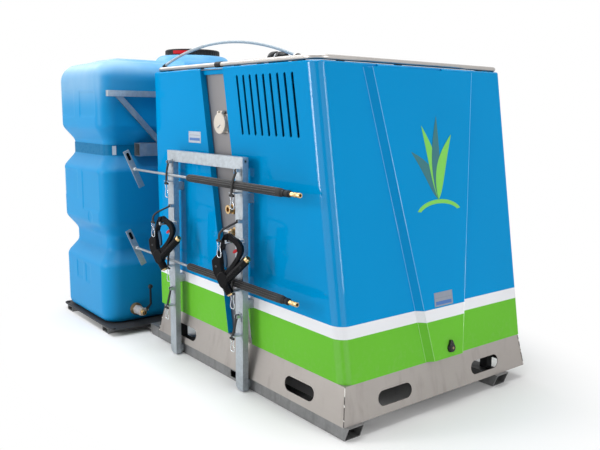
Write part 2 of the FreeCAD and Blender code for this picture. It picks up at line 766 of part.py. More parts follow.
def make_gap_pieces():
    roof_z = HOOD_TOP_Z - ROOF_PLATE_DROP
    low_z = PANEL_TOP_Z
    half = HOOD_SHEET
    mirror = HOOD_MIRROR_Y
    header_y = PANEL_Y - HOOD_SHEET - 8.0
    strip = gap_block(header_y, header_y + half, low_z, roof_z - PANEL_SHEET)
    back_strip = gap_block(mirror - header_y - half, mirror - header_y, low_z, roof_z - PANEL_SHEET)
    lip = gap_block(header_y + half, PANEL_Y, low_z, low_z + half)
    back_lip = gap_block(mirror - PANEL_Y, mirror - header_y - half, low_z, low_z + half)
    add("hood_bridge", fuse([strip, lip]), fuse([back_strip, back_lip]))
    front_panel = gap_block(PANEL_Y, PANEL_Y + PANEL_SHEET, BASE_TOP_Z, low_z + half)
    back_panel = gap_block(mirror - PANEL_Y - PANEL_SHEET, mirror - PANEL_Y, BASE_TOP_Z, low_z + half)
    roof = gap_block(header_y - 14.0, mirror - header_y + 14.0, roof_z - PANEL_SHEET, roof_z)
    add("service_panel", front_panel, back_panel, roof)


def make_hatch_door():
    low, high = door_levels()
    flat = DOOR_PROUD
    outer = Part.makeLoft([door_wire(DOOR_SEAL_GAP, True, 0, low, high),
                           door_wire(flat, False, 0, low, high)], True, True)
    wall = DOOR_SHEET
    inner = Part.makeLoft([door_wire(-1.0, True, wall, low + wall, high - wall),
                           door_wire(flat - wall, False, wall * 0.6, low + wall, high - wall)],
                          True, True)
    shell = outer.cut(inner)
    along = low + LATCH_HEIGHT
    start = on_end(along, DOOR_CENTRE_Y + LATCH_OFFSET_Y, 0)
    end = on_end(along, DOOR_CENTRE_Y + LATCH_OFFSET_Y, flat + 5)
    shell = shell.cut(cylinder(LATCH_STEM_RADIUS + STEM_CLEARANCE, start, end))
    axis_along, axis_proud = hinge_axis()
    knuckles = []
    for side in (-1, 1):
        for offset in (-1, 1):
            centre = DOOR_CENTRE_Y + side * HINGE_FROM_CENTRE + offset * HINGE_KNUCKLE_LENGTH
            half = HINGE_KNUCKLE_LENGTH / 2 - 0.4
            knuckle = cylinder(HINGE_KNUCKLE_RADIUS, on_end(axis_along, centre - half, axis_proud),
                               on_end(axis_along, centre + half, axis_proud))
            tab = hinge_leaf(centre - half, centre + half, axis_along, axis_proud, True)
            knuckles.append(fuse([knuckle, tab]))
    hole = hinge_hole(axis_along, axis_proud)
    relief = cylinder(HINGE_KNUCKLE_RADIUS + 0.6, on_end(axis_along, DOOR_CENTRE_Y - 400, axis_proud),
                      on_end(axis_along, DOOR_CENTRE_Y + 400, axis_proud))
    shell = shell.cut(relief)
    door = fuse([shell] + knuckles)
    add("hatch_door", door.cut(hole))


def hinge_axis():
    """The door's pivot, as a height up the slope and a distance out from it."""
    return door_levels()[1] + 2.0, DOOR_PROUD - HINGE_KNUCKLE_RADIUS


def hinge_hole(along, proud):
    reach = HINGE_FROM_CENTRE + 2 * HINGE_KNUCKLE_LENGTH
    return cylinder(HINGE_PIN_RADIUS + HINGE_CLEARANCE, on_end(along, DOOR_CENTRE_Y - reach, proud),
                    on_end(along, DOOR_CENTRE_Y + reach, proud))


def hinge_leaf(y0, y1, along, proud, to_door):
    """The flat strap that joins a knuckle to the door or to the hood."""
    sheet = DOOR_SHEET
    if to_door:
        points = [(along, proud - sheet / 2), (along, proud + HINGE_KNUCKLE_RADIUS),
                  (along - 18.0, proud + HINGE_KNUCKLE_RADIUS), (along - 18.0, proud - sheet / 2)]
    else:
        points = [(along, 0.0), (along + 9.0, 0.0), (along + 9.0, sheet), (along + 4.0, proud),
                  (along - 2.0, proud)]
    wire = outline([on_end(a, y0, p) for a, p in points])
    return Part.Face(wire).extrude(vector(0, y1 - y0, 0))


def make_hatch_hinge():
    along, proud = hinge_axis()
    pieces = []
    for side in (-1, 1):
        centre = DOOR_CENTRE_Y + side * HINGE_FROM_CENTRE
        half = HINGE_KNUCKLE_LENGTH / 2
        reach = 1.5 * HINGE_KNUCKLE_LENGTH - 1.0
        knuckle = cylinder(HINGE_KNUCKLE_RADIUS, on_end(along, centre - half, proud),
                           on_end(along, centre + half, proud))
        pin = cylinder(HINGE_PIN_RADIUS, on_end(along, centre - reach, proud),
                       on_end(along, centre + reach, proud))
        leaf = hinge_leaf(centre - half, centre + half, along, proud, False)
        pieces.append(fuse([knuckle, leaf, pin]))
    add("hatch_hinge", *pieces)


def make_hatch_latch():
    along = door_levels()[0] + LATCH_HEIGHT
    flat = DOOR_PROUD
    y = DOOR_CENTRE_Y + LATCH_OFFSET_Y
    knob = cylinder(LATCH_RADIUS, on_end(along, y, flat + FIT_GAP), on_end(along, y, flat + 7.0))
    cap = cone(LATCH_RADIUS - 3, LATCH_RADIUS - 7, on_end(along, y, flat + 7.0),
               on_end(along, y, flat + LATCH_PROUD))
    stem = cylinder(LATCH_STEM_RADIUS, on_end(along, y, 4.0), on_end(along, y, flat + 1.0))
    cam = cylinder(LATCH_STEM_RADIUS + 6, on_end(along, y, 6.0), on_end(along, y, 12.0))
    add("hatch_latch", fuse([knob, cap, stem, cam]))


def make_rating_plates():
    z0 = FRONT_PLATE_Z - FRONT_PLATE_HEIGHT / 2
    x1 = gap_x(FRONT_PLATE_Z, "left") - FRONT_PLATE_GAP_SIDE
    front = box(x1 - FRONT_PLATE_WIDTH, x1, HOOD_FRONT_Y - PLATE_THICKNESS, HOOD_FRONT_Y,
                z0, z0 + FRONT_PLATE_HEIGHT)
    add("rating_plate", front)
    middle = (DOOR_PLATE_Z - BASE_TOP_Z) / math.cos(RAKE_ANGLE)
    low, high = middle - DOOR_PLATE_HEIGHT / 2, middle + DOOR_PLATE_HEIGHT / 2
    half = DOOR_PLATE_WIDTH / 2
    points = [on_end(a, DOOR_CENTRE_Y + DOOR_PLATE_OFFSET_Y + s * half, DOOR_PROUD)
              for a, s in ((low, -1), (low, 1), (high, 1), (high, -1))]
    face = Part.Face(outline(points))
    sine, cosine = math.sin(RAKE_ANGLE), math.cos(RAKE_ANGLE)
    out = vector(cosine * PLATE_THICKNESS, 0, sine * PLATE_THICKNESS)
    add("door_plate", face.extrude(out))


# Roof

def elbow(centre, start_angle, bend):
    """A quarter bend of the roof rail."""
    angle = math.radians(start_angle)
    spoke = vector(math.cos(angle), math.sin(angle), 0)
    middle = vector(*centre) + spoke * bend
    tangent = vector(-math.sin(angle), math.cos(angle), 0)
    ring = Part.Wire(Part.makeCircle(RAIL_RADIUS, middle, tangent))
    return Part.Face(ring).revolve(vector(*centre), vector(0, 0, 1), 90)


def make_top_rail():
    x0, x1, y0, y1 = RAIL_LEFT_X, RAIL_RIGHT_X, RAIL_FRONT_Y, RAIL_BACK_Y
    front, back, z = RAIL_BEND, RAIL_BACK_BEND, RAIL_Z
    pieces = [
        cylinder(RAIL_RADIUS, (x0 + front, y0, z), (x1 - front, y0, z)),
        cylinder(RAIL_RADIUS, (x1, y0 + front, z), (x1, y1 - back, z)),
        cylinder(RAIL_RADIUS, (x1 - back, y1, z), (x0 + back, y1, z)),
        cylinder(RAIL_RADIUS, (x0, y1 - back, z), (x0, y0 + front, z)),
        elbow((x0 + front, y0 + front, z), 180, front),
        elbow((x1 - front, y0 + front, z), 270, front),
        elbow((x1 - back, y1 - back, z), 0, back),
        elbow((x0 + back, y1 - back, z), 90, back),
    ]
    add("top_rail", fuse(pieces))


def rail_stud_places():
    """Points under the rail where a stud carries it, with their direction."""
    span = RAIL_RIGHT_X - RAIL_LEFT_X
    depth = RAIL_BACK_Y - RAIL_FRONT_Y
    places = []
    xs = [RAIL_LEFT_X + span * share for share in (0.12, 0.345, 0.72, 0.905)]
    xs.insert(2, gap_x(HOOD_TOP_Z, "right") + STUD_FROM_GAP)
    for x in xs:
        places += [(x, RAIL_FRONT_Y, True), (x, RAIL_BACK_Y, True)]
    for share in (0.11, 0.40, 0.88):
        y = RAIL_FRONT_Y + depth * share
        places += [(RAIL_LEFT_X, y, False), (RAIL_RIGHT_X, y, False)]
    return places


def make_rail_fittings():
    studs = []
    for x, y, along_x in rail_stud_places():
        half_x, half_y = STUD_LENGTH / 2, STUD_WIDTH / 2
        if not along_x:
            half_x, half_y = half_y, half_x
        block = box(x - half_x, x + half_x, y - half_y, y + half_y, HOOD_TOP_Z, RAIL_Z - 4.0)
        seat = RAIL_RADIUS + FIT_GAP
        if along_x:
            rail = cylinder(seat, (x - 30, y, RAIL_Z), (x + 30, y, RAIL_Z))
        else:
            rail = cylinder(seat, (x, y - 30, RAIL_Z), (x, y + 30, RAIL_Z))
        studs.append(block.cut(rail))
    x = sleeve_x()
    half = SLEEVE_LENGTH / 2
    outer = RAIL_RADIUS + SLEEVE_WALL
    sleeve = tube(outer, RAIL_RADIUS + FIT_GAP, (x - half, RAIL_FRONT_Y, RAIL_Z), (x + half, RAIL_FRONT_Y, RAIL_Z))
    add("rail_fittings", *studs, sleeve)


def sleeve_x():
    """Where the black sleeve sits on the front run of the rail."""
    return gap_x(HOOD_TOP_Z, "right") - 52.0


def arch_points():
    """Start, top and end of the stiff hose over the roof."""
    start_x = RAIL_LEFT_X + ARCH_FROM_LEFT
    end_x = start_x + ARCH_SPAN
    y0 = RAIL_FRONT_Y + ARCH_START_FROM_RAIL
    y1 = RAIL_FRONT_Y + ARCH_END_FROM_RAIL
    z0 = RAIL_Z + ARCH_ABOVE_RAIL
    return (start_x, y0, z0), ((start_x + end_x) / 2, (y0 + y1) / 2, z0 + ARCH_RISE), (end_x, y1, z0)


def make_arch_hose():
    start, top, end = arch_points()
    arc = Part.Arc(vector(*start), vector(*top), vector(*end)).toShape()
    path = Part.Wire([arc])
    tangent = arc.tangentAt(arc.FirstParameter)
    ring = Part.Wire(Part.makeCircle(ARCH_RADIUS, vector(*start), tangent))
    hose = path.makePipeShell([ring], True, False)
    add("arch_hose", hose)
    out = arc.tangentAt(arc.LastParameter)
    tip = vector(*end)
    nose = tip + out * FITTING_LENGTH
    swivel = Part.makeCylinder(FITTING_RADIUS, FITTING_LENGTH, tip, out)
    foot_low = (nose.x - 12, nose.y, HOOD_TOP_Z)
    foot_post = cylinder(ARCH_FOOT_RADIUS, foot_low, (nose.x - 12, nose.y, nose.z + 4))
    start = vector(*start)
    nut = Part.makeCylinder(ARCH_RADIUS + 3, 24.0, start, tangent)
    nut = nut.cut(Part.makeCylinder(ARCH_RADIUS + FIT_GAP, 26.0, start - tangent, tangent))
    left_foot = cylinder(ARCH_FOOT_RADIUS, (start.x + 10, start.y + 4, HOOD_TOP_Z),
                         (start.x + 10, start.y + 4, start.z - ARCH_RADIUS))
    add("rail_fittings", fuse([swivel, foot_post]), fuse([nut, left_foot]))


# Tank

def tank_sections(wall):
    """Heights up the tank with how far its side is drawn in at each, inside a wall."""
    steps = 4
    sections = []
    for step in range(steps):
        angle = math.radians(90 * step / (steps - 1))
        sections.append((TANK_BOTTOM_Z + wall + (TANK_BOTTOM_EDGE - wall) * (1 - math.cos(angle)),
                         wall + TANK_BOTTOM_EDGE * (1 - math.sin(angle))))
    for waist_z in (LOWER_WAIST_Z, UPPER_WAIST_Z):
        sections += [
            (waist_z - WAIST_SLOPE, wall),
            (waist_z, WAIST_DEPTH + wall),
            (waist_z + WAIST_HEIGHT, WAIST_DEPTH + wall),
            (waist_z + WAIST_HEIGHT + WAIST_SLOPE, wall),
        ]
    edge_z = TANK_TOP_Z - TANK_TOP_EDGE
    for step in range(steps + 1):
        angle = math.radians(90 * step / steps)
        sections.append((edge_z + (TANK_TOP_EDGE - wall) * math.sin(angle),
                         wall + TANK_TOP_EDGE * (1 - math.cos(angle))))
    sections.append((TANK_TOP_Z + TANK_CROWN - wall, TANK_CROWN_INSET + wall))
    return sections


def tank_corner(inset):
    """The radius of the tank's upright corners where its side is drawn in."""
    return max(TANK_CORNER - inset, TANK_LEAST_CORNER)


def tank_solid(wall):
    wires = []
    for z, inset in tank_sections(wall):
        wires.append(rounded_rectangle(TANK_LEFT_X + inset, TANK_RIGHT_X - inset,
                                       TANK_FRONT_Y + inset, TANK_BACK_Y - inset, z, tank_corner(inset)))
    return Part.makeLoft(wires, True, True)


def make_tank():
    x, y = TANK_CENTRE_X, TANK_CENTRE_Y
    wall = TANK_WALL
    dome = cone(DOME_RADIUS, DOME_TOP_RADIUS, (x, y, TANK_TOP_Z - 6), (x, y, DOME_TOP_Z))
    neck = cylinder(NECK_RADIUS, (x, y, DOME_TOP_Z - 1), (x, y, NECK_TOP_Z))
    hollow = cone(DOME_RADIUS - 2 * wall, DOME_TOP_RADIUS - 2 * wall,
                  (x, y, TANK_TOP_Z - 2 * wall), (x, y, DOME_TOP_Z - wall))
    bore = cylinder(NECK_BORE, (x, y, TANK_TOP_Z - wall), (x, y, NECK_TOP_Z + 1))
    body = fuse([tank_solid(0), dome, neck])
    body = body.cut(tank_solid(wall)).cut(hollow).cut(bore)
    port = cylinder(OUTLET_PIPE_RADIUS + 1.0, (TANK_RIGHT_X - 30, OUTLET_Y, OUTLET_Z),
                    (TANK_RIGHT_X + 1, OUTLET_Y, OUTLET_Z))
    add("water_tank", body.cut(port))


def make_lid():
    x, y = TANK_CENTRE_X, TANK_CENTRE_Y
    z0 = DOME_TOP_Z + LID_CLEARANCE
    z1 = z0 + LID_HEIGHT
    cap = cylinder(LID_RADIUS, (x, y, z0), (x, y, z1))
    edge = [e for e in cap.Edges if abs(e.BoundBox.ZMin - z1) < 0.01 and abs(e.BoundBox.ZMax - z1) < 0.01]
    cap = cap.makeFillet(10.0, edge)
    cap = cap.cut(cylinder(NECK_RADIUS + LID_CLEARANCE, (x, y, z0 - 1), (x, y, NECK_TOP_Z)))
    add("tank_lid", cap)
    angle = math.radians(-55.0)
    mid = LID_RADIUS + FIT_GAP
    half = LID_TAB_WIDTH / 2 / mid
    ring = tube(mid + LID_TAB_THICKNESS, mid, (x, y, z0 + 6), (x, y, z1 - 12))
    far = mid * 1.6
    wedge = extrude_z([(x, y),
                       (x + far * math.cos(angle - half), y + far * math.sin(angle - half)),
                       (x + far * math.cos(angle + half), y + far * math.sin(angle + half))],
                      z0 + 6, z1 - 12)
    add("lid_lock_tab", ring.common(wedge))


def make_belt():
    z0 = UPPER_WAIST_Z + 2.0
    faces = []
    for grow in (FIT_GAP + BELT_THICKNESS, FIT_GAP):
        inset = WAIST_DEPTH - grow
        faces.append(Part.Face(rounded_rectangle(TANK_LEFT_X + inset, TANK_RIGHT_X - inset,
                                                 TANK_FRONT_Y + inset, TANK_BACK_Y - inset, z0,
                                                 tank_corner(WAIST_DEPTH) + grow)))
    outer, inner = [face.extrude(vector(0, 0, BELT_WIDTH)) for face in faces]
    add("tank_belt", outer.cut(inner))


def make_bracket():
    bar_x0 = TANK_RIGHT_X + BRACKET_TANK_GAP
    bar_x1 = bar_x0 + BRACKET_BAR
    bar_z1 = BRACKET_BAR_Z + BRACKET_BAR
    low_x0 = TANK_RIGHT_X - WAIST_DEPTH + BELT_THICKNESS + FIT_GAP
    low_x1 = low_x0 + BRACKET_LOW_DEPTH
    low_z0 = UPPER_WAIST_Z
    low_z1 = low_z0 + BRACKET_LOW_HEIGHT
    mirror = 2 * TANK_CENTRE_Y
    wall = BRACKET_WALL
    start_y = BRACKET_LOW_START_Y
    bar_y = TANK_FRONT_Y + BRACKET_BAR_INSET_Y
    top = box(bar_x0, bar_x1, bar_y, mirror - bar_y, BRACKET_BAR_Z, bar_z1)
    low = box(low_x0, low_x1, start_y, mirror - start_y, low_z0, low_z1)
    pieces = [top, low]
    half = BRACKET_BRACE_WIDTH / 2
    brace = [(BRACKET_BRACE_TOP_Y - half, BRACKET_BAR_Z + 1), (BRACKET_BRACE_TOP_Y + half, BRACKET_BAR_Z + 1),
             (BRACKET_BRACE_LOW_Y + half, low_z1 - 1), (BRACKET_BRACE_LOW_Y - half, low_z1 - 1)]
    post_x0 = low_x1 - 2.0
    for flip in (False, True):
        points = [(mirror - y, z) for y, z in brace] if flip else brace
        pieces.append(extrude_x(points, bar_x0, bar_x0 + 10.0))
        y = mirror - BRACKET_POST_Y if flip else BRACKET_POST_Y
        pieces.append(box(post_x0, post_x0 + BRACKET_POST, y - BRACKET_POST / 2, y + BRACKET_POST / 2,
                          PLATFORM_TOP_Z, bar_z1))
    frame = fuse(pieces)
    bore = box(low_x0 + wall, low_x1 - wall, start_y - 1, start_y + 90, low_z0 + wall, low_z1 - wall)
    back_bore = box(low_x0 + wall, low_x1 - wall, mirror - start_y - 90, mirror - start_y + 1,
                    low_z0 + wall, low_z1 - wall)
    add("tank_bracket", frame.cut(bore).cut(back_bore))


# Platform

def make_platform():
    plate = Part.Face(rounded_rectangle(PLATFORM_LEFT_X, PLATFORM_RIGHT_X, PLATFORM_FRONT_Y,
                                        PLATFORM_BACK_Y, PLATFORM_LOW_Z, PLATFORM_CORNER))
    plate = plate.extrude(vector(0, 0, PLATFORM_SHEET))
    inset = SCREW_INSET
    screws = []
    for x in (PLATFORM_LEFT_X + inset, PLATFORM_RIGHT_X - inset):
        for y in (PLATFORM_FRONT_Y + inset / 2, PLATFORM_BACK_Y - inset / 2):
            z = PLATFORM_TOP_Z
            screws.append(cylinder(SCREW_RADIUS, (x, y, z), (x, y, z + SCREW_HEAD)))
    add("platform_plate", plate, *screws)


def make_platform_tubes():
    wall = PLATFORM_TUBE_WALL
    z0, z1 = FLOOR_Z, PLATFORM_LOW_Z
    y0, y1 = PLATFORM_FRONT_Y + 2, PLATFORM_BACK_Y - 2
    tubes = []
    for x1 in (PLATFORM_LEFT_X + PLATFORM_TUBE_FROM_LEFT + PLATFORM_TUBE_WIDTH, PLATFORM_TUBE_RIGHT_X):
        x0 = x1 - PLATFORM_TUBE_WIDTH
        outer = box(x0, x1, y0, y1, z0, z1)
        tubes.append(outer.cut(box(x0 + wall, x1 - wall, y0, y1, z0 + wall, z1 - wall)))
    links = []
    for centre in (SKID_FRONT_Y, SKID_REAR_Y):
        half = LINK_WIDTH / 2
        outer = box(LINK_LEFT_X, SKID_LEFT_X, centre - half, centre + half, FLOOR_Z, 0)
        low = [e for e in outer.Edges
               if all(abs(v.X - LINK_LEFT_X) < 0.01 and abs(v.Z - FLOOR_Z) < 0.01 for v in e.Vertexes)]
        outer = outer.makeFillet(LINK_CORNER, low)
        bore = box(LINK_LEFT_X + LINK_CORNER, SKID_LEFT_X, centre - half + wall, centre + half - wall,
                   FLOOR_Z + wall, -wall)
        z = PLATFORM_LOW_Z - TONGUE_THICKNESS - 8.0
        tongue = box(PLATFORM_TUBE_RIGHT_X, LINK_LEFT_X + LINK_CORNER / 2, centre - TONGUE_WIDTH / 2,
                     centre + TONGUE_WIDTH / 2, z, z + TONGUE_THICKNESS)
        links.append(fuse([outer.cut(bore), tongue]))
    add("platform_tubes", *tubes, *links)


# Tank outlet

def make_outlet():
    y, z = OUTLET_Y, OUTLET_Z
    x0 = TANK_RIGHT_X
    x1 = x0 + OUTLET_FLANGE_LENGTH
    x2 = x1 + OUTLET_NUT_LENGTH
    x3 = x2 + VALVE_LENGTH
    x4 = x3 + OUTLET_TAIL
    bore = OUTLET_PIPE_RADIUS - 4.0
    flange = cylinder(OUTLET_FLANGE_RADIUS, (x0, y, z), (x1, y, z))
    pipe = cylinder(OUTLET_PIPE_RADIUS, (x0 - TANK_WALL - 6, y, z), (x1, y, z))
    nut = cylinder(OUTLET_NUT_RADIUS - 4, (x1, y, z), (x2, y, z))
    through = cylinder(bore, (x0 - 40, y, z), (x2 + 1, y, z))
    add("outlet_fittings", fuse([flange, pipe, nut]).cut(through))
    tail = fuse([cylinder(VALVE_RADIUS - 4, (x3, y, z), (x3 + 14, y, z)),
                 cylinder(OUTLET_PIPE_RADIUS, (x3 + 13, y, z), (x4, y, z))])
    tail = tail.cut(cylinder(bore, (x3 - 1, y, z), (x4 + 1, y, z)))
    add("outlet_fittings", tail)
    stem_x = (x2 + x3) / 2
    body = fuse([cylinder(VALVE_RADIUS, (x2, y, z), (x3, y, z)),
                 cylinder(12.0, (stem_x, y, z), (stem_x, y + VALVE_RADIUS + STEM_LENGTH - 9, z)),
                 cylinder(STEM_RADIUS, (stem_x, y, z), (stem_x, y + VALVE_RADIUS + STEM_LENGTH + 8, z))])
    add("valve_body", body)
    return stem_x


def lever_parts(stem_x):
    """The cranked handle of the outlet valve."""
    y0 = OUTLET_Y + VALVE_RADIUS + STEM_LENGTH - 9 + FIT_GAP
    y1 = y0 + LEVER_THICKNESS
    z = OUTLET_Z
    half = LEVER_WIDTH / 2
    knee_x = stem_x + LEVER_OFFSET
    knee_z = z + LEVER_KNEE
    hub = cylinder(13.0, (stem_x, y0, z), (stem_x, y1, z))
    arm = extrude_y([(stem_x - half, z + 4), (stem_x + half, z - 4),
                     (knee_x + half, knee_z), (knee_x - half, knee_z)], y0, y1)
    mid = (y0 + y1) / 2
    shaft = box(knee_x - half, knee_x + half, y0, y1, knee_z, z + LEVER_RISE)
    knob = ball(LEVER_KNOB, (knee_x, mid, z + LEVER_RISE + 4))
    hole = cylinder(STEM_RADIUS + STEM_CLEARANCE, (stem_x, y0 - 1, z), (stem_x, y1 + 1, z))
    return fuse([hub, arm, shaft, knob]).cut(hole)


# Service panel connections

def panel_x(z):
    """The middle of the service panel at a height."""
    return (gap_x(z, "left") + gap_x(z, "right")) / 2


def make_socket():
    x = panel_x(SOCKET_Z) + 12.0
    z = SOCKET_Z
    front = PANEL_Y - SOCKET_PROUD
    flange = box(x - 44, x + 44, PANEL_Y - 4, PANEL_Y, z - 44, z + 44)
    collar = cylinder(SOCKET_RADIUS, (x, PANEL_Y - 4, z), (x, front, z))
    well = cylinder(SOCKET_RADIUS - 6, (x, front - 1, z), (x, PANEL_Y - 2, z))
    pins = [cylinder(3.0, (x + 16 * math.cos(a), PANEL_Y - 1, z + 16 * math.sin(a)),
                     (x + 16 * math.cos(a), front + 3, z + 16 * math.sin(a)))
            for a in (math.radians(90 + 120 * k) for k in range(3))]
    pin_y, pin_z = front + 2.0, z + FLAP_RADIUS + 4.0
    ear = box(x - 7, x + 7, pin_y - 2, PANEL_Y, z + SOCKET_RADIUS - 3, pin_z + 6)
    hinge = cylinder(FLAP_PIN_RADIUS, (x - 24, pin_y, pin_z), (x + 24, pin_y, pin_z))
    body = fuse([flange, collar]).cut(well)
    add("socket_body", fuse([body, ear, hinge] + pins))
    flap_y1 = front - FLAP_GAP
    flap = cylinder(FLAP_RADIUS, (x, flap_y1 - FLAP_THICKNESS, z), (x, flap_y1, z))
    lugs = []
    for side in (-1, 1):
        centre = x + side * 15.0
        lug = box(centre - 6, centre + 6, flap_y1 - FLAP_THICKNESS, pin_y, z + FLAP_RADIUS - 6, pin_z + 4)
        lugs.append(lug.cut(cylinder(FLAP_PIN_RADIUS + HINGE_CLEARANCE, (centre - 7, pin_y, pin_z),
                                     (centre + 7, pin_y, pin_z))))
        barrel = tube(6.0, FLAP_PIN_RADIUS + HINGE_CLEARANCE, (centre - 6, pin_y, pin_z),
                      (centre + 6, pin_y, pin_z))
        lugs.append(barrel)
    flap = fuse([flap] + lugs)
    flap = flap.cut(cylinder(FLAP_PIN_RADIUS + HINGE_CLEARANCE, (x - 30, pin_y, pin_z), (x + 30, pin_y, pin_z)))
    add("socket_flap", flap)
    return (x, pin_y, pin_z)


def make_couplings():
    x = panel_x(COUPLING_Z) + 22.0
    z = COUPLING_Z
    y = PANEL_Y
    hexagon = [(x + COUPLING_HEX * math.cos(a), z + COUPLING_HEX * math.sin(a))
               for a in (math.radians(60 * k) for k in range(6))]
    nut = extrude_y(hexagon, y - 12, y)
    neck = cylinder(COUPLING_RADIUS, (x, y - 12, z), (x, y - COUPLING_PROUD, z))
    bore = cylinder(12.0, (x, y - COUPLING_PROUD - 1, z), (x, y - 2, z))
    add("water_couplings", fuse([nut, neck]).cut(bore))
    x = panel_x(TAP_Z) + 16.0
    z = TAP_Z
    tap = fuse([cylinder(TAP_RADIUS + 6, (x, y - 6, z), (x, y, z)),
                cylinder(TAP_RADIUS, (x, y - TAP_PROUD, z), (x, y, z)),
                cylinder(5.0, (x, y - TAP_PROUD - 12, z), (x, y, z)),
                cylinder(9.0, (x, y - 16, z - 30), (x, y - 16, z))])
    add("water_couplings", tap)
    y1 = y - TAP_PROUD - FIT_GAP
    half = TAP_LEVER_WIDTH / 2
    arm = box(x - TAP_LEVER_LENGTH, x, y1 - TAP_LEVER_THICKNESS, y1, z - half, z + half)
    hub = cylinder(10.0, (x, y1 - TAP_LEVER_THICKNESS, z), (x, y1, z))
    hole = cylinder(5.0 + STEM_CLEARANCE, (x, y1 - 10, z), (x, y1 + 1, z))
    add("service_valve_lever", fuse([arm, hub]).cut(hole))
    return (x, y1, z)


# Rack

def make_rack():
    wall = RACK_WALL
    y0, y1 = RACK_FRONT_Y, RACK_BACK_Y
    top_z = RACK_TOP_Z - RACK_BAR_HEIGHT
    posts = []
    for side, centre in sorted(POST_CENTRES.items()):
        half = RACK_POST_WIDTH / 2
        x0, x1 = centre - half, centre + half
        post = box(x0, x1, y0, y1, RACK_BOTTOM_Z, top_z)
        foot = [e for e in post.Edges
                if all(abs(v.X - x0) < 0.01 and abs(v.Z - RACK_BOTTOM_Z) < 0.01 for v in e.Vertexes)]
        post = post.makeFillet(RACK_FOOT_RADIUS, foot)
        bore = box(x0 + wall, x1 - wall, y0 + wall, y1 - wall, RACK_BOTTOM_Z + RACK_FOOT_RADIUS, top_z)
        posts.append(post.cut(bore))
        for z in (BASE_TOP_Z + 180.0, top_z - 150.0):
            posts.append(box(centre - 20, centre + 20, y1, HOOD_FRONT_Y, z, z + RACK_SPACER_HEIGHT))
        posts.append(box(centre - RACK_SPACER_HALF, centre + RACK_SPACER_HALF, y1,
                         SKID_FRONT_Y - SKID_WIDTH / 2, RACK_SPACER_LOW_Z,
                         RACK_SPACER_LOW_Z + RACK_SPACER_HEIGHT))
    add("rack_posts", *posts)
    bar = box(RACK_LEFT_X, RACK_RIGHT_X, y0, y1, top_z, RACK_TOP_Z)
    bore = box(RACK_LEFT_X + wall, RACK_RIGHT_X - wall, y0 + wall, y1 - wall, top_z + wall, RACK_TOP_Z - wall)
    hole = cylinder(RACK_HOLE_RADIUS, (RACK_RIGHT_X - 10, (y0 + y1) / 2, RACK_TOP_Z - RACK_HOLE_DROP),
                    (RACK_RIGHT_X + 1, (y0 + y1) / 2, RACK_TOP_Z - RACK_HOLE_DROP))
    add("rack_top_bar", bar.cut(bore).cut(hole))


# Lances

def make_lance(name):
    y, z = LANCE_Y, LANCE_HEIGHTS[name]
    grip_x0 = GRIP_LEFT_X[name]
    grip_x1 = grip_x0 + GRIP_LENGTH[name]
    collar_x1 = grip_x1 + COLLAR_LENGTH[name]
    tip_x = collar_x1 + NOZZLE_LENGTH[name]
    node = "lance_" + name
    pipe = cylinder(PIPE_RADIUS, (PIPE_LEFT_X, y, z), (grip_x1 - 20, y, z))
    pipe = pipe.cut(cylinder(PIPE_BORE, (PIPE_LEFT_X + 20, y, z), (grip_x1, y, z)))
    tilt = math.radians(BAR_TILT)
    along = vector(0, math.sin(tilt), -math.cos(tilt))
    across = vector(0, math.cos(tilt), math.sin(tilt))
    centre = vector(PIPE_LEFT_X - BAR_THICKNESS / 2, y, z)

    def bar_point(a, c):
        return centre + along * a + across * c

    half, side = BAR_LENGTH / 2, BAR_WIDTH / 2
    ring = Part.makePolygon([bar_point(a, c) for a, c in
                             ((-half, -side), (half, -side), (half, side), (-half, side), (-half, -side))])
    bar = Part.Face(ring).extrude(vector(BAR_THICKNESS, 0, 0))
    slot_at = -half + BAR_SLOT_FROM_END
    run = BAR_SLOT_LENGTH / 2 - BAR_SLOT_WIDTH / 2
    width = BAR_SLOT_WIDTH / 2
    ring = Part.makePolygon([bar_point(slot_at + a, c) for a, c in
                             ((-run, -width), (run, -width), (run, width), (-run, width), (-run, -width))])
    slot = Part.Face(ring).extrude(vector(BAR_THICKNESS, 0, 0))
    ends = [Part.makeCylinder(width, BAR_THICKNESS, bar_point(slot_at + s * run, 0), vector(1, 0, 0))
            for s in (-1, 1)]
    add(node + "_pipe", fuse([pipe, bar]).cut(fuse([slot] + ends)))
    grip = tube(GRIP_RADIUS, PIPE_RADIUS + 0.05, (grip_x0, y, z), (grip_x1, y, z))
    if name == "upper":
        for k in range(GRIP_FLUTES):
            a = 2 * math.pi * k / GRIP_FLUTES
            spot = (y + GRIP_RADIUS * math.cos(a), z + GRIP_RADIUS * math.sin(a))
            grip = grip.cut(cylinder(GRIP_FLUTE_RADIUS, (grip_x0 + 16, spot[0], spot[1]),
                                     (grip_x1 - 16, spot[0], spot[1])))
    collar = tube(COLLAR_RADIUS, NOZZLE_BORE, (grip_x1, y, z), (collar_x1, y, z))
    add(node + "_grip", grip, collar)
    nozzle = tube(NOZZLE_RADIUS, NOZZLE_BORE, (collar_x1, y, z), (tip_x, y, z))
    add(node + "_coupling", nozzle)


# Clamps: a rubber strap on a pin, its tee under a keeper, and a wire bail

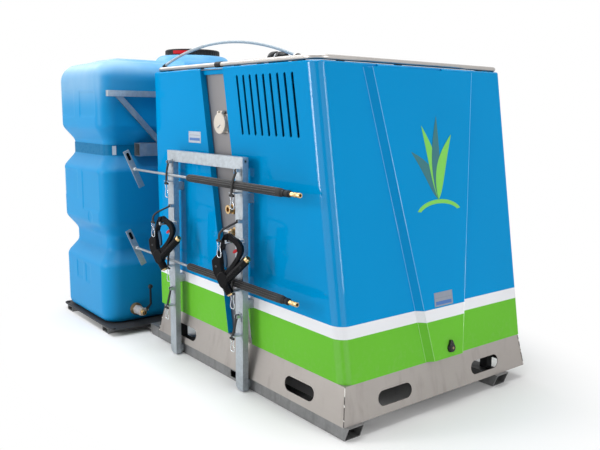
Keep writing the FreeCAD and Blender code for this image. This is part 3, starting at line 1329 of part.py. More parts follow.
def clamp_specs():
    """Every clamp: its name, centre, anchor and tee heights, tee depth, bail drop."""
    specs = []
    for side in ("left", "right"):
        x = CLAMP_CENTRES[side]
        for name in ("upper", "lower"):
            z = LANCE_HEIGHTS[name]
            radius = PIPE_RADIUS if side == "left" else GRIP_RADIUS
            tee_y = LANCE_Y - radius - FIT_GAP - STRAP_THICKNESS / 2
            specs.append(("strap_%s_%s" % (name, side), x, z + LANCE_ANCHOR_RISE, z - LANCE_TEE_DROP,
                          tee_y, LANCE_BAIL_DROP))
        specs.append(("strap_gun_%s" % side, x + GUN_CLAMP_SHIFT, GUN_ANCHOR_Z, GUN_TEE_Z, GUN_TEE_Y,
                      GUN_BAIL_DROP))
        specs.append(("strap_spare_%s" % side, x, SPARE_ANCHOR_Z, SPARE_TEE_Z, SPARE_TEE_Y, SPARE_BAIL_DROP))
    return specs


def make_clamp(name, x, anchor_z, tee_z, tee_y, bail_drop):
    pin_y = CLAMP_ANCHOR_Y
    half = STRAP_WIDTH / 2
    thick = STRAP_THICKNESS / 2
    band = [(pin_y - thick, anchor_z), (tee_y - thick, tee_z), (tee_y + thick, tee_z), (pin_y + thick, anchor_z)]
    if name.startswith("strap_gun"):
        band = [(pin_y - 2, anchor_z + thick), (tee_y - thick, tee_z + 44), (tee_y - thick, tee_z),
                (tee_y + thick, tee_z), (tee_y + thick, tee_z + 40), (pin_y + 2, anchor_z - thick)]
    elif "spare" not in name:
        shoulder = tee_z + LANCE_TEE_DROP + STRAP_SHOULDER
        band = [(pin_y - thick, anchor_z), (tee_y - thick, shoulder), (tee_y - thick, tee_z),
                (tee_y + thick, tee_z), (tee_y + thick, shoulder), (pin_y + thick, anchor_z)]
    eye = cylinder(STRAP_HOLDER_RADIUS, (x - half, pin_y, anchor_z), (x + half, pin_y, anchor_z))
    tee = cylinder(TEE_RADIUS, (x - TEE_LENGTH / 2, tee_y, tee_z), (x + TEE_LENGTH / 2, tee_y, tee_z))
    strap = fuse([extrude_x(band, x - half, x + half), eye, tee])
    strap = strap.cut(cylinder(CLAMP_PIN_RADIUS + CLAMP_PIN_CLEARANCE, (x - 20, pin_y, anchor_z),
                               (x + 20, pin_y, anchor_z)))
    top_half, low_half = BAIL_WIDTH / 2, BAIL_END_WIDTH / 2
    low_y = tee_y + (0.0 if name.startswith("strap_gun") else BAIL_LEAN)
    low_z = tee_z - bail_drop
    eye_z = tee_z - TEE_RADIUS / 2
    bail = bent_rod([(x - top_half, tee_y, eye_z), (x - low_half, low_y, low_z),
                     (x + low_half, low_y, low_z), (x + top_half, tee_y, eye_z)], BAIL_WIRE)
    add(name, fuse([strap, bail]))
    ears = []
    reach = RACK_FRONT_Y
    gap = CLAMP_EAR_GAP / 2
    for sign in (-1, 1):
        x0 = x + sign * gap
        x1 = x0 + sign * CLAMP_EAR
        ears.append(box(min(x0, x1), max(x0, x1), pin_y - 7, reach, anchor_z - 7, anchor_z + 7))
    back = box(x - gap - CLAMP_EAR, x + gap + CLAMP_EAR, reach - 3, reach, anchor_z - 26, anchor_z + 14)
    pin = cylinder(CLAMP_PIN_RADIUS, (x - gap - CLAMP_EAR - 1, pin_y, anchor_z),
                   (x + gap + CLAMP_EAR + 1, pin_y, anchor_z))
    add("clamp_hardware", fuse(ears + [back, pin]))
    keeper_z = tee_z + TEE_RADIUS + KEEPER_CLEARANCE
    keeper = box(x - KEEPER_WIDTH / 2, x + KEEPER_WIDTH / 2, tee_y - 3, reach,
                 keeper_z, keeper_z + KEEPER_THICKNESS)
    slot = box(x - half - 1.5, x + half + 1.5, tee_y - 4, tee_y + 8, keeper_z - 1, keeper_z + 6)
    if name.startswith("strap_gun"):
        return
    plate = box(x - KEEPER_WIDTH / 2, x + KEEPER_WIDTH / 2, reach - 3, reach, keeper_z - 14, keeper_z + 1)
    add("clamp_hardware", fuse([keeper.cut(slot), plate]))


# Trigger guns

def gun_point(side, u, v, w=0.0):
    """A point of a gun's own plane: u along it, v up, w out of it to the front."""
    angle = math.radians(GUN_TURN)
    x = GUN_CENTRES[side] + u * math.cos(angle) + w * math.sin(angle)
    y = GUN_Y + u * math.sin(angle) - w * math.cos(angle)
    return (x, y, GUN_Z + v)


def gun_slab(side, points, thickness, shift=0.0):
    """A flat piece of a gun, as thick as given about its plane."""
    ring = outline([gun_point(side, u, v, -thickness / 2 + shift) for u, v in points])
    front = vector(*gun_point(side, 0, 0, thickness)) - vector(*gun_point(side, 0, 0, 0))
    return Part.Face(ring).extrude(front)


def gun_rod(side, radius, start, end):
    return cylinder(radius, gun_point(side, *start), gun_point(side, *end))


def gun_cross(side, radius, u, v, thickness):
    """A round bar through a gun, square to its plane."""
    return cylinder(radius, gun_point(side, u, v, -thickness / 2), gun_point(side, u, v, thickness / 2))


GUN_HANDLE = [(-31, 164), (-55, 80), (-88, 47), (-90, 36), (-83, -12), (-66, -39), (-44, -70),
              (-10, -50), (-34, -6), (-44, 10), (-40, 96), (-14, 140), (-1, 172)]
GUN_LOOP_OUT = [(-31, 164), (-1, 172), (13, 157), (50, 142), (68, 107), (60, 75), (31, 31), (-10, -30)]
GUN_LOOP_IN = [(-34, -6), (12, 37), (41, 82), (39, 110), (17, 133), (-14, 142)]
TRIGGER = [(-41, 90), (-33, 94), (-24, 84), (-18, 52), (-17, 18), (-26, 12), (-31, 50)]
TRIGGER_PIN = (-36, 88)
SAFETY_PIVOT = (30, 96)


def make_gun(side):
    node = "gun_%s" % side
    handle = gun_slab(side, GUN_HANDLE, GUN_SHELL)
    guard = gun_slab(side, GUN_LOOP_OUT + GUN_LOOP_IN, GUN_GUARD)
    knuckle = gun_slab(side, [(-70, -30), (-38, -86), (-6, -68), (-8, -20), (-36, 4)], GUN_SHELL + 4)
    sleeve = gun_rod(side, GUN_SLEEVE_RADIUS, (-22, -44), (80, 56))
    nose = gun_rod(side, GUN_NOSE_RADIUS, (-30, -60), (-3, -104))
    body = fuse([handle, guard, knuckle, sleeve, nose])
    loop = gun_slab(side, [(-29, 8), (6, 40), (33, 82), (31, 106), (14, 125), (-8, 133), (-36, 92), (-36, 30)],
                    GUN_SHELL + 20)
    body = body.cut(loop)
    pin = gun_cross(side, TRIGGER_PIN_RADIUS, TRIGGER_PIN[0], TRIGGER_PIN[1], GUN_SHELL - 4)
    ears = gun_cross(side, 9.0, TRIGGER_PIN[0], TRIGGER_PIN[1], GUN_SHELL - 6)
    room = gun_cross(side, 9.0, TRIGGER_PIN[0], TRIGGER_PIN[1], TRIGGER_THICKNESS + 2)
    body = fuse([body, ears]).cut(room)
    steps = 4
    for step in range(steps + 1):
        turned = trigger_points((TRIGGER_TRAVEL + 2.0) * step / steps - 1.0)
        body = body.cut(gun_slab(side, turned, TRIGGER_THICKNESS + 2))
    body = fuse([body, pin])
    boss = gun_cross(side, 9.0, SAFETY_PIVOT[0] + 6, SAFETY_PIVOT[1], GUN_GUARD)
    room = gun_cross(side, 9.6, SAFETY_PIVOT[0], SAFETY_PIVOT[1], SAFETY_THICKNESS + 1)
    lever_room = gun_slab(side, safety_points(0.8), SAFETY_THICKNESS + 1)
    pin = gun_cross(side, 2.5, SAFETY_PIVOT[0], SAFETY_PIVOT[1], GUN_GUARD - 2)
    body = fuse([fuse([body, boss]).cut(room).cut(lever_room), pin])
    add(node + "_body", body)
    trigger = gun_slab(side, TRIGGER, TRIGGER_THICKNESS)
    hub = gun_cross(side, 7.5, TRIGGER_PIN[0], TRIGGER_PIN[1], TRIGGER_THICKNESS)
    hole = gun_cross(side, TRIGGER_PIN_RADIUS + TRIGGER_CLEARANCE, TRIGGER_PIN[0], TRIGGER_PIN[1], 60.0)
    add(node + "_trigger", fuse([trigger, hub]).cut(hole))
    safety = fuse([gun_slab(side, safety_points(0), SAFETY_THICKNESS),
                   gun_cross(side, 7.0, SAFETY_PIVOT[0], SAFETY_PIVOT[1], SAFETY_THICKNESS)])
    hole = gun_cross(side, 2.5 + TRIGGER_CLEARANCE, SAFETY_PIVOT[0], SAFETY_PIVOT[1], 60.0)
    add(node + "_safety", safety.cut(hole))
    brass = gun_rod(side, GUN_BRASS_RADIUS, (80.1, 56.1), (92.1, 67.86))
    bore = gun_rod(side, GUN_BRASS_BORE, (79, 55), (93, 68.8))
    ring = gun_rod(side, GUN_BRASS_RADIUS - 1, (-3, -104), (0.5, -109.7))
    ring_bore = gun_rod(side, GUN_BRASS_BORE, (-4, -102.4), (1, -110.5))
    add(node + "_fittings", brass.cut(bore), ring.cut(ring_bore))


def trigger_points(degrees):
    """The trigger's outline when it is pulled by an angle."""
    angle = math.radians(degrees)
    points = []
    for u, v in TRIGGER:
        across, up = u - TRIGGER_PIN[0], v - TRIGGER_PIN[1]
        points.append((TRIGGER_PIN[0] + across * math.cos(angle) + up * math.sin(angle),
                       TRIGGER_PIN[1] - across * math.sin(angle) + up * math.cos(angle)))
    return points


def safety_points(grow):
    """The small catch at the guard, a little larger when it is a pocket."""
    u, v = SAFETY_PIVOT
    return [(u - 2 - grow, v + 4 + grow), (u - 16 - grow, v - 6), (u - 17 - grow, v - 14 - grow),
            (u - 8, v - 12 - grow), (u + 5 + grow, v - 3)]


def make_gun_hooks():
    """A bar across each post with a bent rod that carries a gun by its loop."""
    turn = math.radians(GUN_TURN)
    for side in ("left", "right"):
        w = GUN_SHELL / 2 + HOOK_RADIUS + 1.0
        x, tip_y, z = gun_point(side, HOOK_U - w * math.tan(turn), HOOK_V, w)
        post_x = POST_CENTRES[side] - RACK_POST_WIDTH / 3
        half = HOOK_BAR_HEIGHT / 2
        bar = box(post_x, x + half, RACK_FRONT_Y - HOOK_BAR_THICKNESS, RACK_FRONT_Y, z - half, z + half)
        rod = bent_rod([(x, RACK_FRONT_Y - 1, z), (x, tip_y, z), (x, tip_y, z + HOOK_TIP)], HOOK_RADIUS)
        add("clamp_hardware", fuse([bar, rod]))


# Machinery inside the hood

def make_machinery():
    floor = DECK_TOP_Z
    x0, y, z = MACHINE_X, MACHINE_Y, SHAFT_Z
    x1 = x0 + MOTOR_LENGTH
    motor = cylinder(MOTOR_RADIUS, (x0, y, z), (x1, y, z))
    for k in range(MOTOR_FINS):
        a = 2 * math.pi * k / MOTOR_FINS
        depth = MOTOR_FIN_DEPTH
        groove = box(x0 + 40, x1 - 40, -4, 4, MOTOR_RADIUS - depth, MOTOR_RADIUS + 2)
        groove.rotate(vector(0, 0, 0), vector(1, 0, 0), math.degrees(a) + 7.5)
        groove.translate(vector(0, y, z))
        motor = motor.cut(groove)
    foot = box(x0 + 40, x1 - 40, y - 110, y + 110, floor, floor + 16)
    web = box(x0 + 60, x1 - 60, y - 80, y + 80, floor + 10, z - MOTOR_RADIUS + 30)
    terminal = box(x0 + 90, x1 - 90, y - 55, y + 55, z + MOTOR_RADIUS - 14, z + MOTOR_RADIUS + 50)
    shaft = cylinder(MOTOR_SHAFT_RADIUS, (x1 - 10, y, z), (x1 + MOTOR_SHAFT_LENGTH, y, z))
    add("electric_motor", fuse([motor, foot, web, terminal, shaft]))
    hub_x0 = x1 + 8.0
    hub_x1 = hub_x0 + HUB_LENGTH
    bore = cylinder(MOTOR_SHAFT_RADIUS + SHAFT_CLEARANCE, (hub_x0 - 1, y, z), (hub_x1 + 1, y, z))
    hub = fuse([cylinder(HUB_RADIUS - 10, (hub_x0, y, z), (hub_x1, y, z)),
                cylinder(HUB_RADIUS, (hub_x0 + 38, y, z), (hub_x1 - 38, y, z))])
    add("drive_coupling", hub.cut(bore))
    pump_x0 = hub_x1 + 8.0
    pump_x1 = pump_x0 + PUMP_LENGTH
    head_x1 = pump_x1 + PUMP_HEAD_LENGTH
    half = PUMP_WIDTH / 2
    low_z = z - PUMP_HEIGHT / 2
    crank = box(pump_x0, pump_x1, y - half, y + half, low_z, low_z + PUMP_HEIGHT)
    head = box(pump_x1, head_x1, y - half + 15, y + half - 15, low_z + 40, low_z + PUMP_HEIGHT - 30)
    pump_shaft = cylinder(MOTOR_SHAFT_RADIUS, (pump_x0 - 52, y, z), (pump_x0 + 5, y, z))
    legs = [box(x, x + 30, y - half, y + half, floor, low_z + 1) for x in (pump_x0 + 10, pump_x1 - 40)]
    caps = [cylinder(16.0, (head_x1 - 60, y + k * 55.0, low_z + PUMP_HEIGHT - 31),
                     (head_x1 - 60, y + k * 55.0, low_z + PUMP_HEIGHT - 8)) for k in (-1, 0, 1)]
    add("plunger_pump", fuse([crank, head, pump_shaft] + legs + caps))
    bx, by = BOILER_X, BOILER_Y
    top = HOOD_TOP_Z - BOILER_FROM_TOP
    shell = tube(BOILER_RADIUS, BOILER_BORE, (bx, by, floor), (bx, by, top - 40))
    cover = cone(BOILER_RADIUS, 90.0, (bx, by, top - 40), (bx, by, top))
    stack = tube(60.0, 54.0, (bx, by, top), (bx, by, top + 60))
    add("boiler", fuse([shell, cover.cut(cylinder(54.0, (bx, by, top - 41), (bx, by, top + 1)))]), stack)
    ring = BOILER_BORE - COIL_INSET
    low = floor + COIL_FROM_FLOOR
    turns = int((top - COIL_FROM_TOP - low) // COIL_PITCH) + 1
    coil = [Part.makeTorus(ring, COIL_RADIUS, vector(bx, by, low + COIL_PITCH * k)) for k in range(turns)]
    riser = cylinder(RISER_RADIUS, (bx + ring, by, floor), (bx + ring, by, low + COIL_PITCH * (turns - 1)))
    add("boiler", fuse(coil + [riser]))
    tx0, ty0 = BATTERY_X, BATTERY_Y
    case = box(tx0, tx0 + BATTERY_LENGTH, ty0, ty0 + BATTERY_WIDTH, floor, floor + BATTERY_HEIGHT)
    case = case.cut(box(tx0 + 6, tx0 + BATTERY_LENGTH - 6, ty0 + 6, ty0 + BATTERY_WIDTH - 6,
                        floor + 6, floor + BATTERY_HEIGHT - 30))
    add("battery_pack", case)
    cells = []
    for i in range(3):
        for j in range(2):
            cx, cy = tx0 + 10 + i * 200.0, ty0 + 12 + j * 200.0
            cells.append(box(cx, cx + 190, cy, cy + 190, floor + 6, floor + 400))
    add("battery_pack", *cells)
    top = floor + BATTERY_HEIGHT
    cabinet = box(tx0 + 100, tx0 + 100 + CABINET_LENGTH, ty0 + 100, ty0 + 100 + CABINET_WIDTH,
                  top, top + CABINET_HEIGHT)
    add("control_cabinet", cabinet)


def build():
    """Make every piece in the layout frame."""
    make_base_skirt()
    make_skids()
    make_deck()
    make_hood()
    make_gap_pieces()
    make_hatch_door()
    make_hatch_hinge()
    make_hatch_latch()
    make_rating_plates()
    make_top_rail()
    make_rail_fittings()
    make_arch_hose()
    make_tank()
    make_lid()
    make_belt()
    make_bracket()
    make_platform()
    make_platform_tubes()
    stem_x = make_outlet()
    add("valve_lever", lever_parts(stem_x))
    make_socket()
    make_couplings()
    make_rack()
    for name in LANCE_HEIGHTS:
        make_lance(name)
    for spec in clamp_specs():
        make_clamp(*spec)
    make_gun_hooks()
    for side in ("left", "right"):
        make_gun(side)
    make_machinery()


build()

# The origin is on the floor, under the middle of the whole part
SHIFT = vector(-(PLATFORM_LEFT_X + SKID_OVERHANG) / 2,
               -(PLATFORM_FRONT_Y + PLATFORM_BACK_Y) / 2,
               -FLOOR_Z)

os.makedirs("parts", exist_ok=True)
for node, solids in NODES.items():
    group = []
    for solid in solids:
        for piece in solid.Solids:
            moved = piece.copy()
            moved.translate(SHIFT)
            group.append(moved)
            if not moved.isValid():
                print("not valid:", node)
    shape = group[0] if len(group) == 1 else Part.makeCompound(group)
    shape.exportStep("parts/%s.step" % node)
print(len(NODES), "nodes")
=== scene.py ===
"""Looks of the skid-mounted pressure washer: its finishes, its finer pieces, the stage and the camera."""

import json
import logging
import math
from collections.abc import Callable, Iterable, Sequence
from dataclasses import dataclass
from enum import Enum
from typing import Any

import bmesh
import bpy
from mathutils import Matrix, Vector

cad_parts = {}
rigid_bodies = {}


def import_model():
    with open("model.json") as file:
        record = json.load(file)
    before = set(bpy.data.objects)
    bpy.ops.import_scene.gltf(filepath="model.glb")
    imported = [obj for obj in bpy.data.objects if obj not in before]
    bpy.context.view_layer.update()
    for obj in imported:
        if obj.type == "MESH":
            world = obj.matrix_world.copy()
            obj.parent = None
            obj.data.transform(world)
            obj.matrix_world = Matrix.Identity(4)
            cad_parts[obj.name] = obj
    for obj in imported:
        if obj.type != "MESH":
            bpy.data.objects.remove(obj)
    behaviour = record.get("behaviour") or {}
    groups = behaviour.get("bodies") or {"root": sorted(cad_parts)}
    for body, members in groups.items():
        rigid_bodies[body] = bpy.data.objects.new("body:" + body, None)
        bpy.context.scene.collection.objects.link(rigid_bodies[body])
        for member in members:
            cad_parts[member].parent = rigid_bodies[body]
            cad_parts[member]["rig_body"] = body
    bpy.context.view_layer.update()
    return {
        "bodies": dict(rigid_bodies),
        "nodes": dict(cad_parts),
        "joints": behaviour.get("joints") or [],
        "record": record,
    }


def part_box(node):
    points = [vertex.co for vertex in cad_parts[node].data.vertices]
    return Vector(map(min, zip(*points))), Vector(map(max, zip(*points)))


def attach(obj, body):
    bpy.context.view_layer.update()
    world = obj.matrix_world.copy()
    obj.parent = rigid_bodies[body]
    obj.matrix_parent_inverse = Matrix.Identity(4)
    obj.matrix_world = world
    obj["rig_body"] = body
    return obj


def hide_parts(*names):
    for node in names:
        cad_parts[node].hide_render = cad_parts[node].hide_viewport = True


Colour = tuple[float, float, float]
Triple = tuple[float, float, float]
Quad = tuple[float, float, float, float]
Pair = tuple[float, float]
Profile = tuple[Pair, ...]

LOG = logging.getLogger("washer")
MM_PER_M = 1000.0
SHARP_OVER = 38.0
CORNER = Vector((1266.0, -604.0, 60.0))
RIGHTWARD = Vector((1.0, 0.0, 0.0))
UPWARD = Vector((0.0, 0.0, 1.0))
EVEN: Triple = (1.0, 1.0, 1.0)
WHITE: Colour = (1.0, 1.0, 1.0)


def at(x: float, y: float, z: float) -> Vector:
    """A place in metres, from millimetres right of, behind and above the base's front right foot."""
    return (Vector((x, y, z)) + CORNER) / MM_PER_M


def rgba(colour: Colour) -> Quad:
    """The colour with full alpha."""
    return (*colour, 1.0)


# Node trees and shader maths


class Value:
    """A number that changes over a surface, with Python's operators on it."""

    def __init__(self, home: "Tree", socket: bpy.types.NodeSocket) -> None:
        """Keep the socket and the tree that it stands in."""
        self.home = home
        self.socket = socket

    def _math(self, operation: str, first: Any, second: Any) -> "Value":
        """One Math node over two operands."""
        made = self.home.node("ShaderNodeMath", {"operation": operation}, {0: first, 1: second})
        return Value(self.home, made.outputs[0])

    def __add__(self, other: Any) -> "Value":
        """The sum."""
        return self._math("ADD", self, other)

    def __radd__(self, other: Any) -> "Value":
        """The sum, from the right."""
        return self._math("ADD", other, self)

    def __sub__(self, other: Any) -> "Value":
        """The difference."""
        return self._math("SUBTRACT", self, other)

    def __rsub__(self, other: Any) -> "Value":
        """The difference, from the right."""
        return self._math("SUBTRACT", other, self)

    def __mul__(self, other: Any) -> "Value":
        """The product."""
        return self._math("MULTIPLY", self, other)

    def __rmul__(self, other: Any) -> "Value":
        """The product, from the right."""
        return self._math("MULTIPLY", other, self)

    def size(self) -> "Value":
        """The number without its sign."""
        return self._math("ABSOLUTE", self, 0.0)

    def most(self, other: Any) -> "Value":
        """The greater of the number and another."""
        return self._math("MAXIMUM", self, other)

    def above(self, level: float) -> "Value":
        """1 where the number is over the level, else 0."""
        return self._math("GREATER_THAN", self, level)

    def between(self, low: float, high: float) -> "Value":
        """1 where the number lies between two levels, else 0."""
        return self.above(low) * (1.0 - self.above(high))

    def ramp(self, low: float, high: float) -> "Value":
        """A smooth step between two levels.

        Args:
            low: the level up to which it is 0.
            high: the level from which it is 1.

        Returns:
            The step.
        """
        span = {"Value": self, "From Min": low, "From Max": high}
        made = self.home.node("ShaderNodeMapRange", {"interpolation_type": "SMOOTHSTEP"}, span)
        return Value(self.home, made.outputs[0])

    def hump(self, rise: Pair, fall: Pair) -> "Value":
        """A smooth step up over one span and down again over another."""
        return self.ramp(*rise) * (1.0 - self.ramp(*fall))


class Tree:
    """A node tree that is filled by one method."""

    def __init__(self, tree: bpy.types.NodeTree) -> None:
        """Keep the tree that the nodes go into."""
        self.tree = tree

    def node(self, kind: str, settings: dict[str, Any] | None = None,
             inputs: dict[str | int, Any] | None = None) -> bpy.types.Node:
        """Add one node.

        Args:
            kind: the node's type.
            settings: its settings, set first.
            inputs: a plain value, a socket or a Value for each of its inputs.

        Returns:
            The node.
        """
        made = self.tree.nodes.new(kind)
        for key, value in (settings or {}).items():
            setattr(made, key, value)
        for key, value in (inputs or {}).items():
            self.feed(made.inputs[key], value)
        return made

    def feed(self, socket: bpy.types.NodeSocket, value: Any) -> None:
        """Link or set one input.

        Args:
            socket: the input.
            value: a plain value to set, or a socket or Value to link.
        """
        if isinstance(value, Value):
            value = value.socket
        if isinstance(value, bpy.types.NodeSocket):
            self.tree.links.new(value, socket)
        else:
            socket.default_value = value


class Paint(Tree):
    """The node tree of one material, read in the object's own coordinates."""

    def __init__(self, name: str) -> None:
        """Start an empty tree with its shader, its output and its coordinates.

        Args:
            name: the material's name.
        """
        self.material = bpy.data.materials.new(name)
        self.material.use_nodes = True
        super().__init__(self.material.node_tree)
        self.tree.nodes.clear()
        self.shader = self.node("ShaderNodeBsdfPrincipled")
        self.output = self.node("ShaderNodeOutputMaterial", {}, {"Surface": self.shader.outputs[0]})
        self.where = self.node("ShaderNodeTexCoord").outputs

    def spot(self, centre: Vector | None = None, stretch: Triple = EVEN) -> bpy.types.NodeSocket:
        """Coordinates centred on a point and stretched.

        Args:
            centre: the point, in metres, or None for the frame's own origin.
            stretch: how fast the pattern runs along each axis.

        Returns:
            The vector socket.
        """
        shift = (0.0, 0.0, 0.0) if centre is None else tuple(-c * s for c, s in zip(centre, stretch))
        made = self.node("ShaderNodeMapping", {},
                         {"Vector": self.where["Object"], "Location": shift, "Scale": stretch})
        return made.outputs[0]

    def axis(self, name: str, centre: Vector | None = None) -> Value:
        """One coordinate, X, Y or Z, from a centre."""
        made = self.node("ShaderNodeSeparateXYZ", {}, {0: self.spot(centre)})
        return Value(self, made.outputs[name])

    def facing(self, name: str) -> Value:
        """How far the surface faces along X, Y or Z, from -1 to 1."""
        made = self.node("ShaderNodeSeparateXYZ", {}, {0: self.where["Normal"]})
        return Value(self, made.outputs[name])

    def noise(self, scale: float, detail: float, stretch: Triple = EVEN) -> Value:
        """Soft noise from 0 to 1.

        Args:
            scale: how many cells it has in a metre.
            detail: how many finer layers it has.
            stretch: how fast it runs along each axis.

        Returns:
            The noise.
        """
        cells = {"Vector": self.spot(None, stretch), "Scale": scale, "Detail": detail}
        return Value(self, self.node("ShaderNodeTexNoise", {}, cells).outputs[0])

    def crystals(self, scale: float, warp: float) -> Value:
        """Crystal cells, each with its own grey from 0 to 1.

        Args:
            scale: how many there are in a metre.
            warp: how far their edges are bent.

        Returns:
            The grey.
        """
        bend = self.node("ShaderNodeTexNoise", {},
                         {"Vector": self.where["Object"], "Scale": scale * 2.0, "Detail": 2.0})
        bent = self.node("ShaderNodeMix", {"data_type": "RGBA", "blend_type": "LINEAR_LIGHT"},
                         {0: warp, 6: self.where["Object"], 7: bend.outputs[1]})
        cells = self.node("ShaderNodeTexVoronoi", {}, {"Vector": bent.outputs[2], "Scale": scale})
        grey = self.node("ShaderNodeSeparateColor", {}, {0: cells.outputs["Color"]})
        return Value(self, grey.outputs[0])

    def blend(self, mask: Any, low: Any, high: Any) -> bpy.types.NodeSocket:
        """A colour that goes from one to another.

        Args:
            mask: a number from 0 to 1.
            low: the colour, or its socket, where the mask is 0.
            high: the colour, or its socket, where it is 1.

        Returns:
            The colour's socket.
        """
        low, high = [rgba(c) if isinstance(c, tuple) else c for c in (low, high)]
        made = self.node("ShaderNodeMix", {"data_type": "RGBA"}, {0: mask, 6: low, 7: high})
        return made.outputs[2]

    def tint(self, colour: Any, amount: Value, share: float) -> bpy.types.NodeSocket:
        """A colour made darker and lighter in places.

        Args:
            colour: the colour, or its socket.
            amount: a number from 0, darkest, to 1, lightest.
            share: the part of the colour by which it changes at most.

        Returns:
            The colour's socket.
        """
        colour = rgba(colour) if isinstance(colour, tuple) else colour
        level = 1.0 - share + 2.0 * share * amount
        grey = self.node("ShaderNodeCombineColor", {}, {channel: level for channel in range(3)})
        made = self.node("ShaderNodeMix", {"data_type": "RGBA", "blend_type": "MULTIPLY"},
                         {0: 1.0, 6: colour, 7: grey.outputs[0]})
        return made.outputs[2]

    def relief(self, height: Value, metres: float) -> bpy.types.NodeSocket:
        """A normal from a height field that is so many metres deep."""
        made = self.node("ShaderNodeBump", {}, {"Height": height, "Distance": metres, "Strength": 1.0})
        return made.outputs[0]

    def finish(self, **sockets: Any) -> bpy.types.Material:
        """Feed the shader's sockets, named with _ for a space.

        Args:
            sockets: a value or link for each.

        Returns:
            The material.
        """
        for key, value in sockets.items():
            self.feed(self.shader.inputs[key.replace("_", " ")], value)
        return self.material


# Finishes


@dataclass(frozen=True)
class Finish:
    """A finish by its name, colour and roughness."""

    name: str
    colour: Colour
    rough: float

    def material(self) -> bpy.types.Material:
        """The finish's material, made once."""
        return bpy.data.materials.get(self.name) or self.paint(Paint(self.name))

    def paint(self, p: Paint) -> bpy.types.Material:
        """Paint it on a new tree. Each kind of finish has its own way."""
        raise NotImplementedError(self.name)


@dataclass(frozen=True)
class Moulding(Finish):
    """Plain moulded plastic, or plain machine paint."""

    shine: float = 0.35
    scuffed: Colour = (0.5, 0.5, 0.5)

    def paint(self, p: Paint) -> bpy.types.Material:
        """Fine grain with soft patches and light scuffs.

        Args:
            p: the new tree.

        Returns:
            The material.
        """
        patch = p.noise(9.0, 4.0)
        scuff = p.noise(60.0, 5.0, (1.0, 1.0, 0.3)).ramp(0.62, 0.78)
        base = p.tint(self.colour, patch, 0.12)
        return p.finish(
            Base_Color=p.blend(scuff * 0.06, base, self.scuffed),
            Specular_IOR_Level=self.shine,
            Roughness=self.rough + 0.12 * patch + 0.06 * scuff,
            Normal=p.relief(p.noise(900.0, 2.0), 0.00006),
        )


@dataclass(frozen=True)
class Print(Finish):
    """A thin printed film."""

    def paint(self, p: Paint) -> bpy.types.Material:
        """Smooth ink with a little unevenness.

        Args:
            p: the new tree.

        Returns:
            The material.
        """
        patch = p.noise(30.0, 3.0)
        return p.finish(
            Base_Color=p.tint(self.colour, patch, 0.04),
            Roughness=self.rough + 0.08 * patch,
            Normal=p.relief(p.noise(500.0, 2.0), 0.00002),
        )


@dataclass(frozen=True)
class HoodPaint(Finish):
    """The hood's gloss paint in three bands by height, all blue in the slanted gap. Places in metres."""

    shine: float = 0.0
    white: Colour = (0.74, 0.75, 0.78)
    green: Colour = (0.135, 0.46, 0.035)
    dust: Colour = (0.45, 0.42, 0.38)
    green_top: float = 0.395
    white_top: float = 0.446
    dust_fade: Pair = (0.22, 0.42)
    gap_left: float = 0.385
    gap_rise: float = 0.19216
    gap_wide: float = 0.205
    gap_foot: float = 0.215
    gap_margin: float = 0.0004
    flat_coat: float = 0.15
    bend_coat: float = 0.79

    def paint(self, p: Paint) -> bpy.types.Material:
        """Powder coat with a fine orange peel, a soft cloudiness, dust low down and glossier bends.

        Args:
            p: the new tree.

        Returns:
            The material.
        """
        height = p.axis("Z")
        along = p.axis("X") - self.gap_left + self.gap_rise * (height - self.gap_foot)
        inside = along.between(-self.gap_margin, self.gap_wide + self.gap_margin)
        cloud = p.noise(1.6, 2.0)
        dusty = (1.0 - height.ramp(*self.dust_fade)) * p.noise(45.0, 4.0).ramp(0.45, 0.75)
        lower = p.blend(height.above(self.green_top), self.green, self.white)
        base = p.blend(height.above(self.white_top), lower, self.colour)
        base = p.blend(inside, base, self.colour)
        base = p.tint(base, cloud, 0.07)
        turn = p.facing("X")
        bends = turn.hump((0.06, 0.2), (0.55, 0.66)) + turn.hump((0.75, 0.8), (0.92, 0.97))
        return p.finish(
            Base_Color=p.blend(dusty * 0.05, base, self.dust),
            Specular_IOR_Level=self.shine,
            Roughness=self.rough + 0.06 * cloud + 0.10 * dusty,
            Coat_Weight=self.flat_coat + self.bend_coat * bends,
            Coat_Roughness=0.06,
            Normal=p.relief(p.noise(260.0, 2.0), 0.00003),
        )


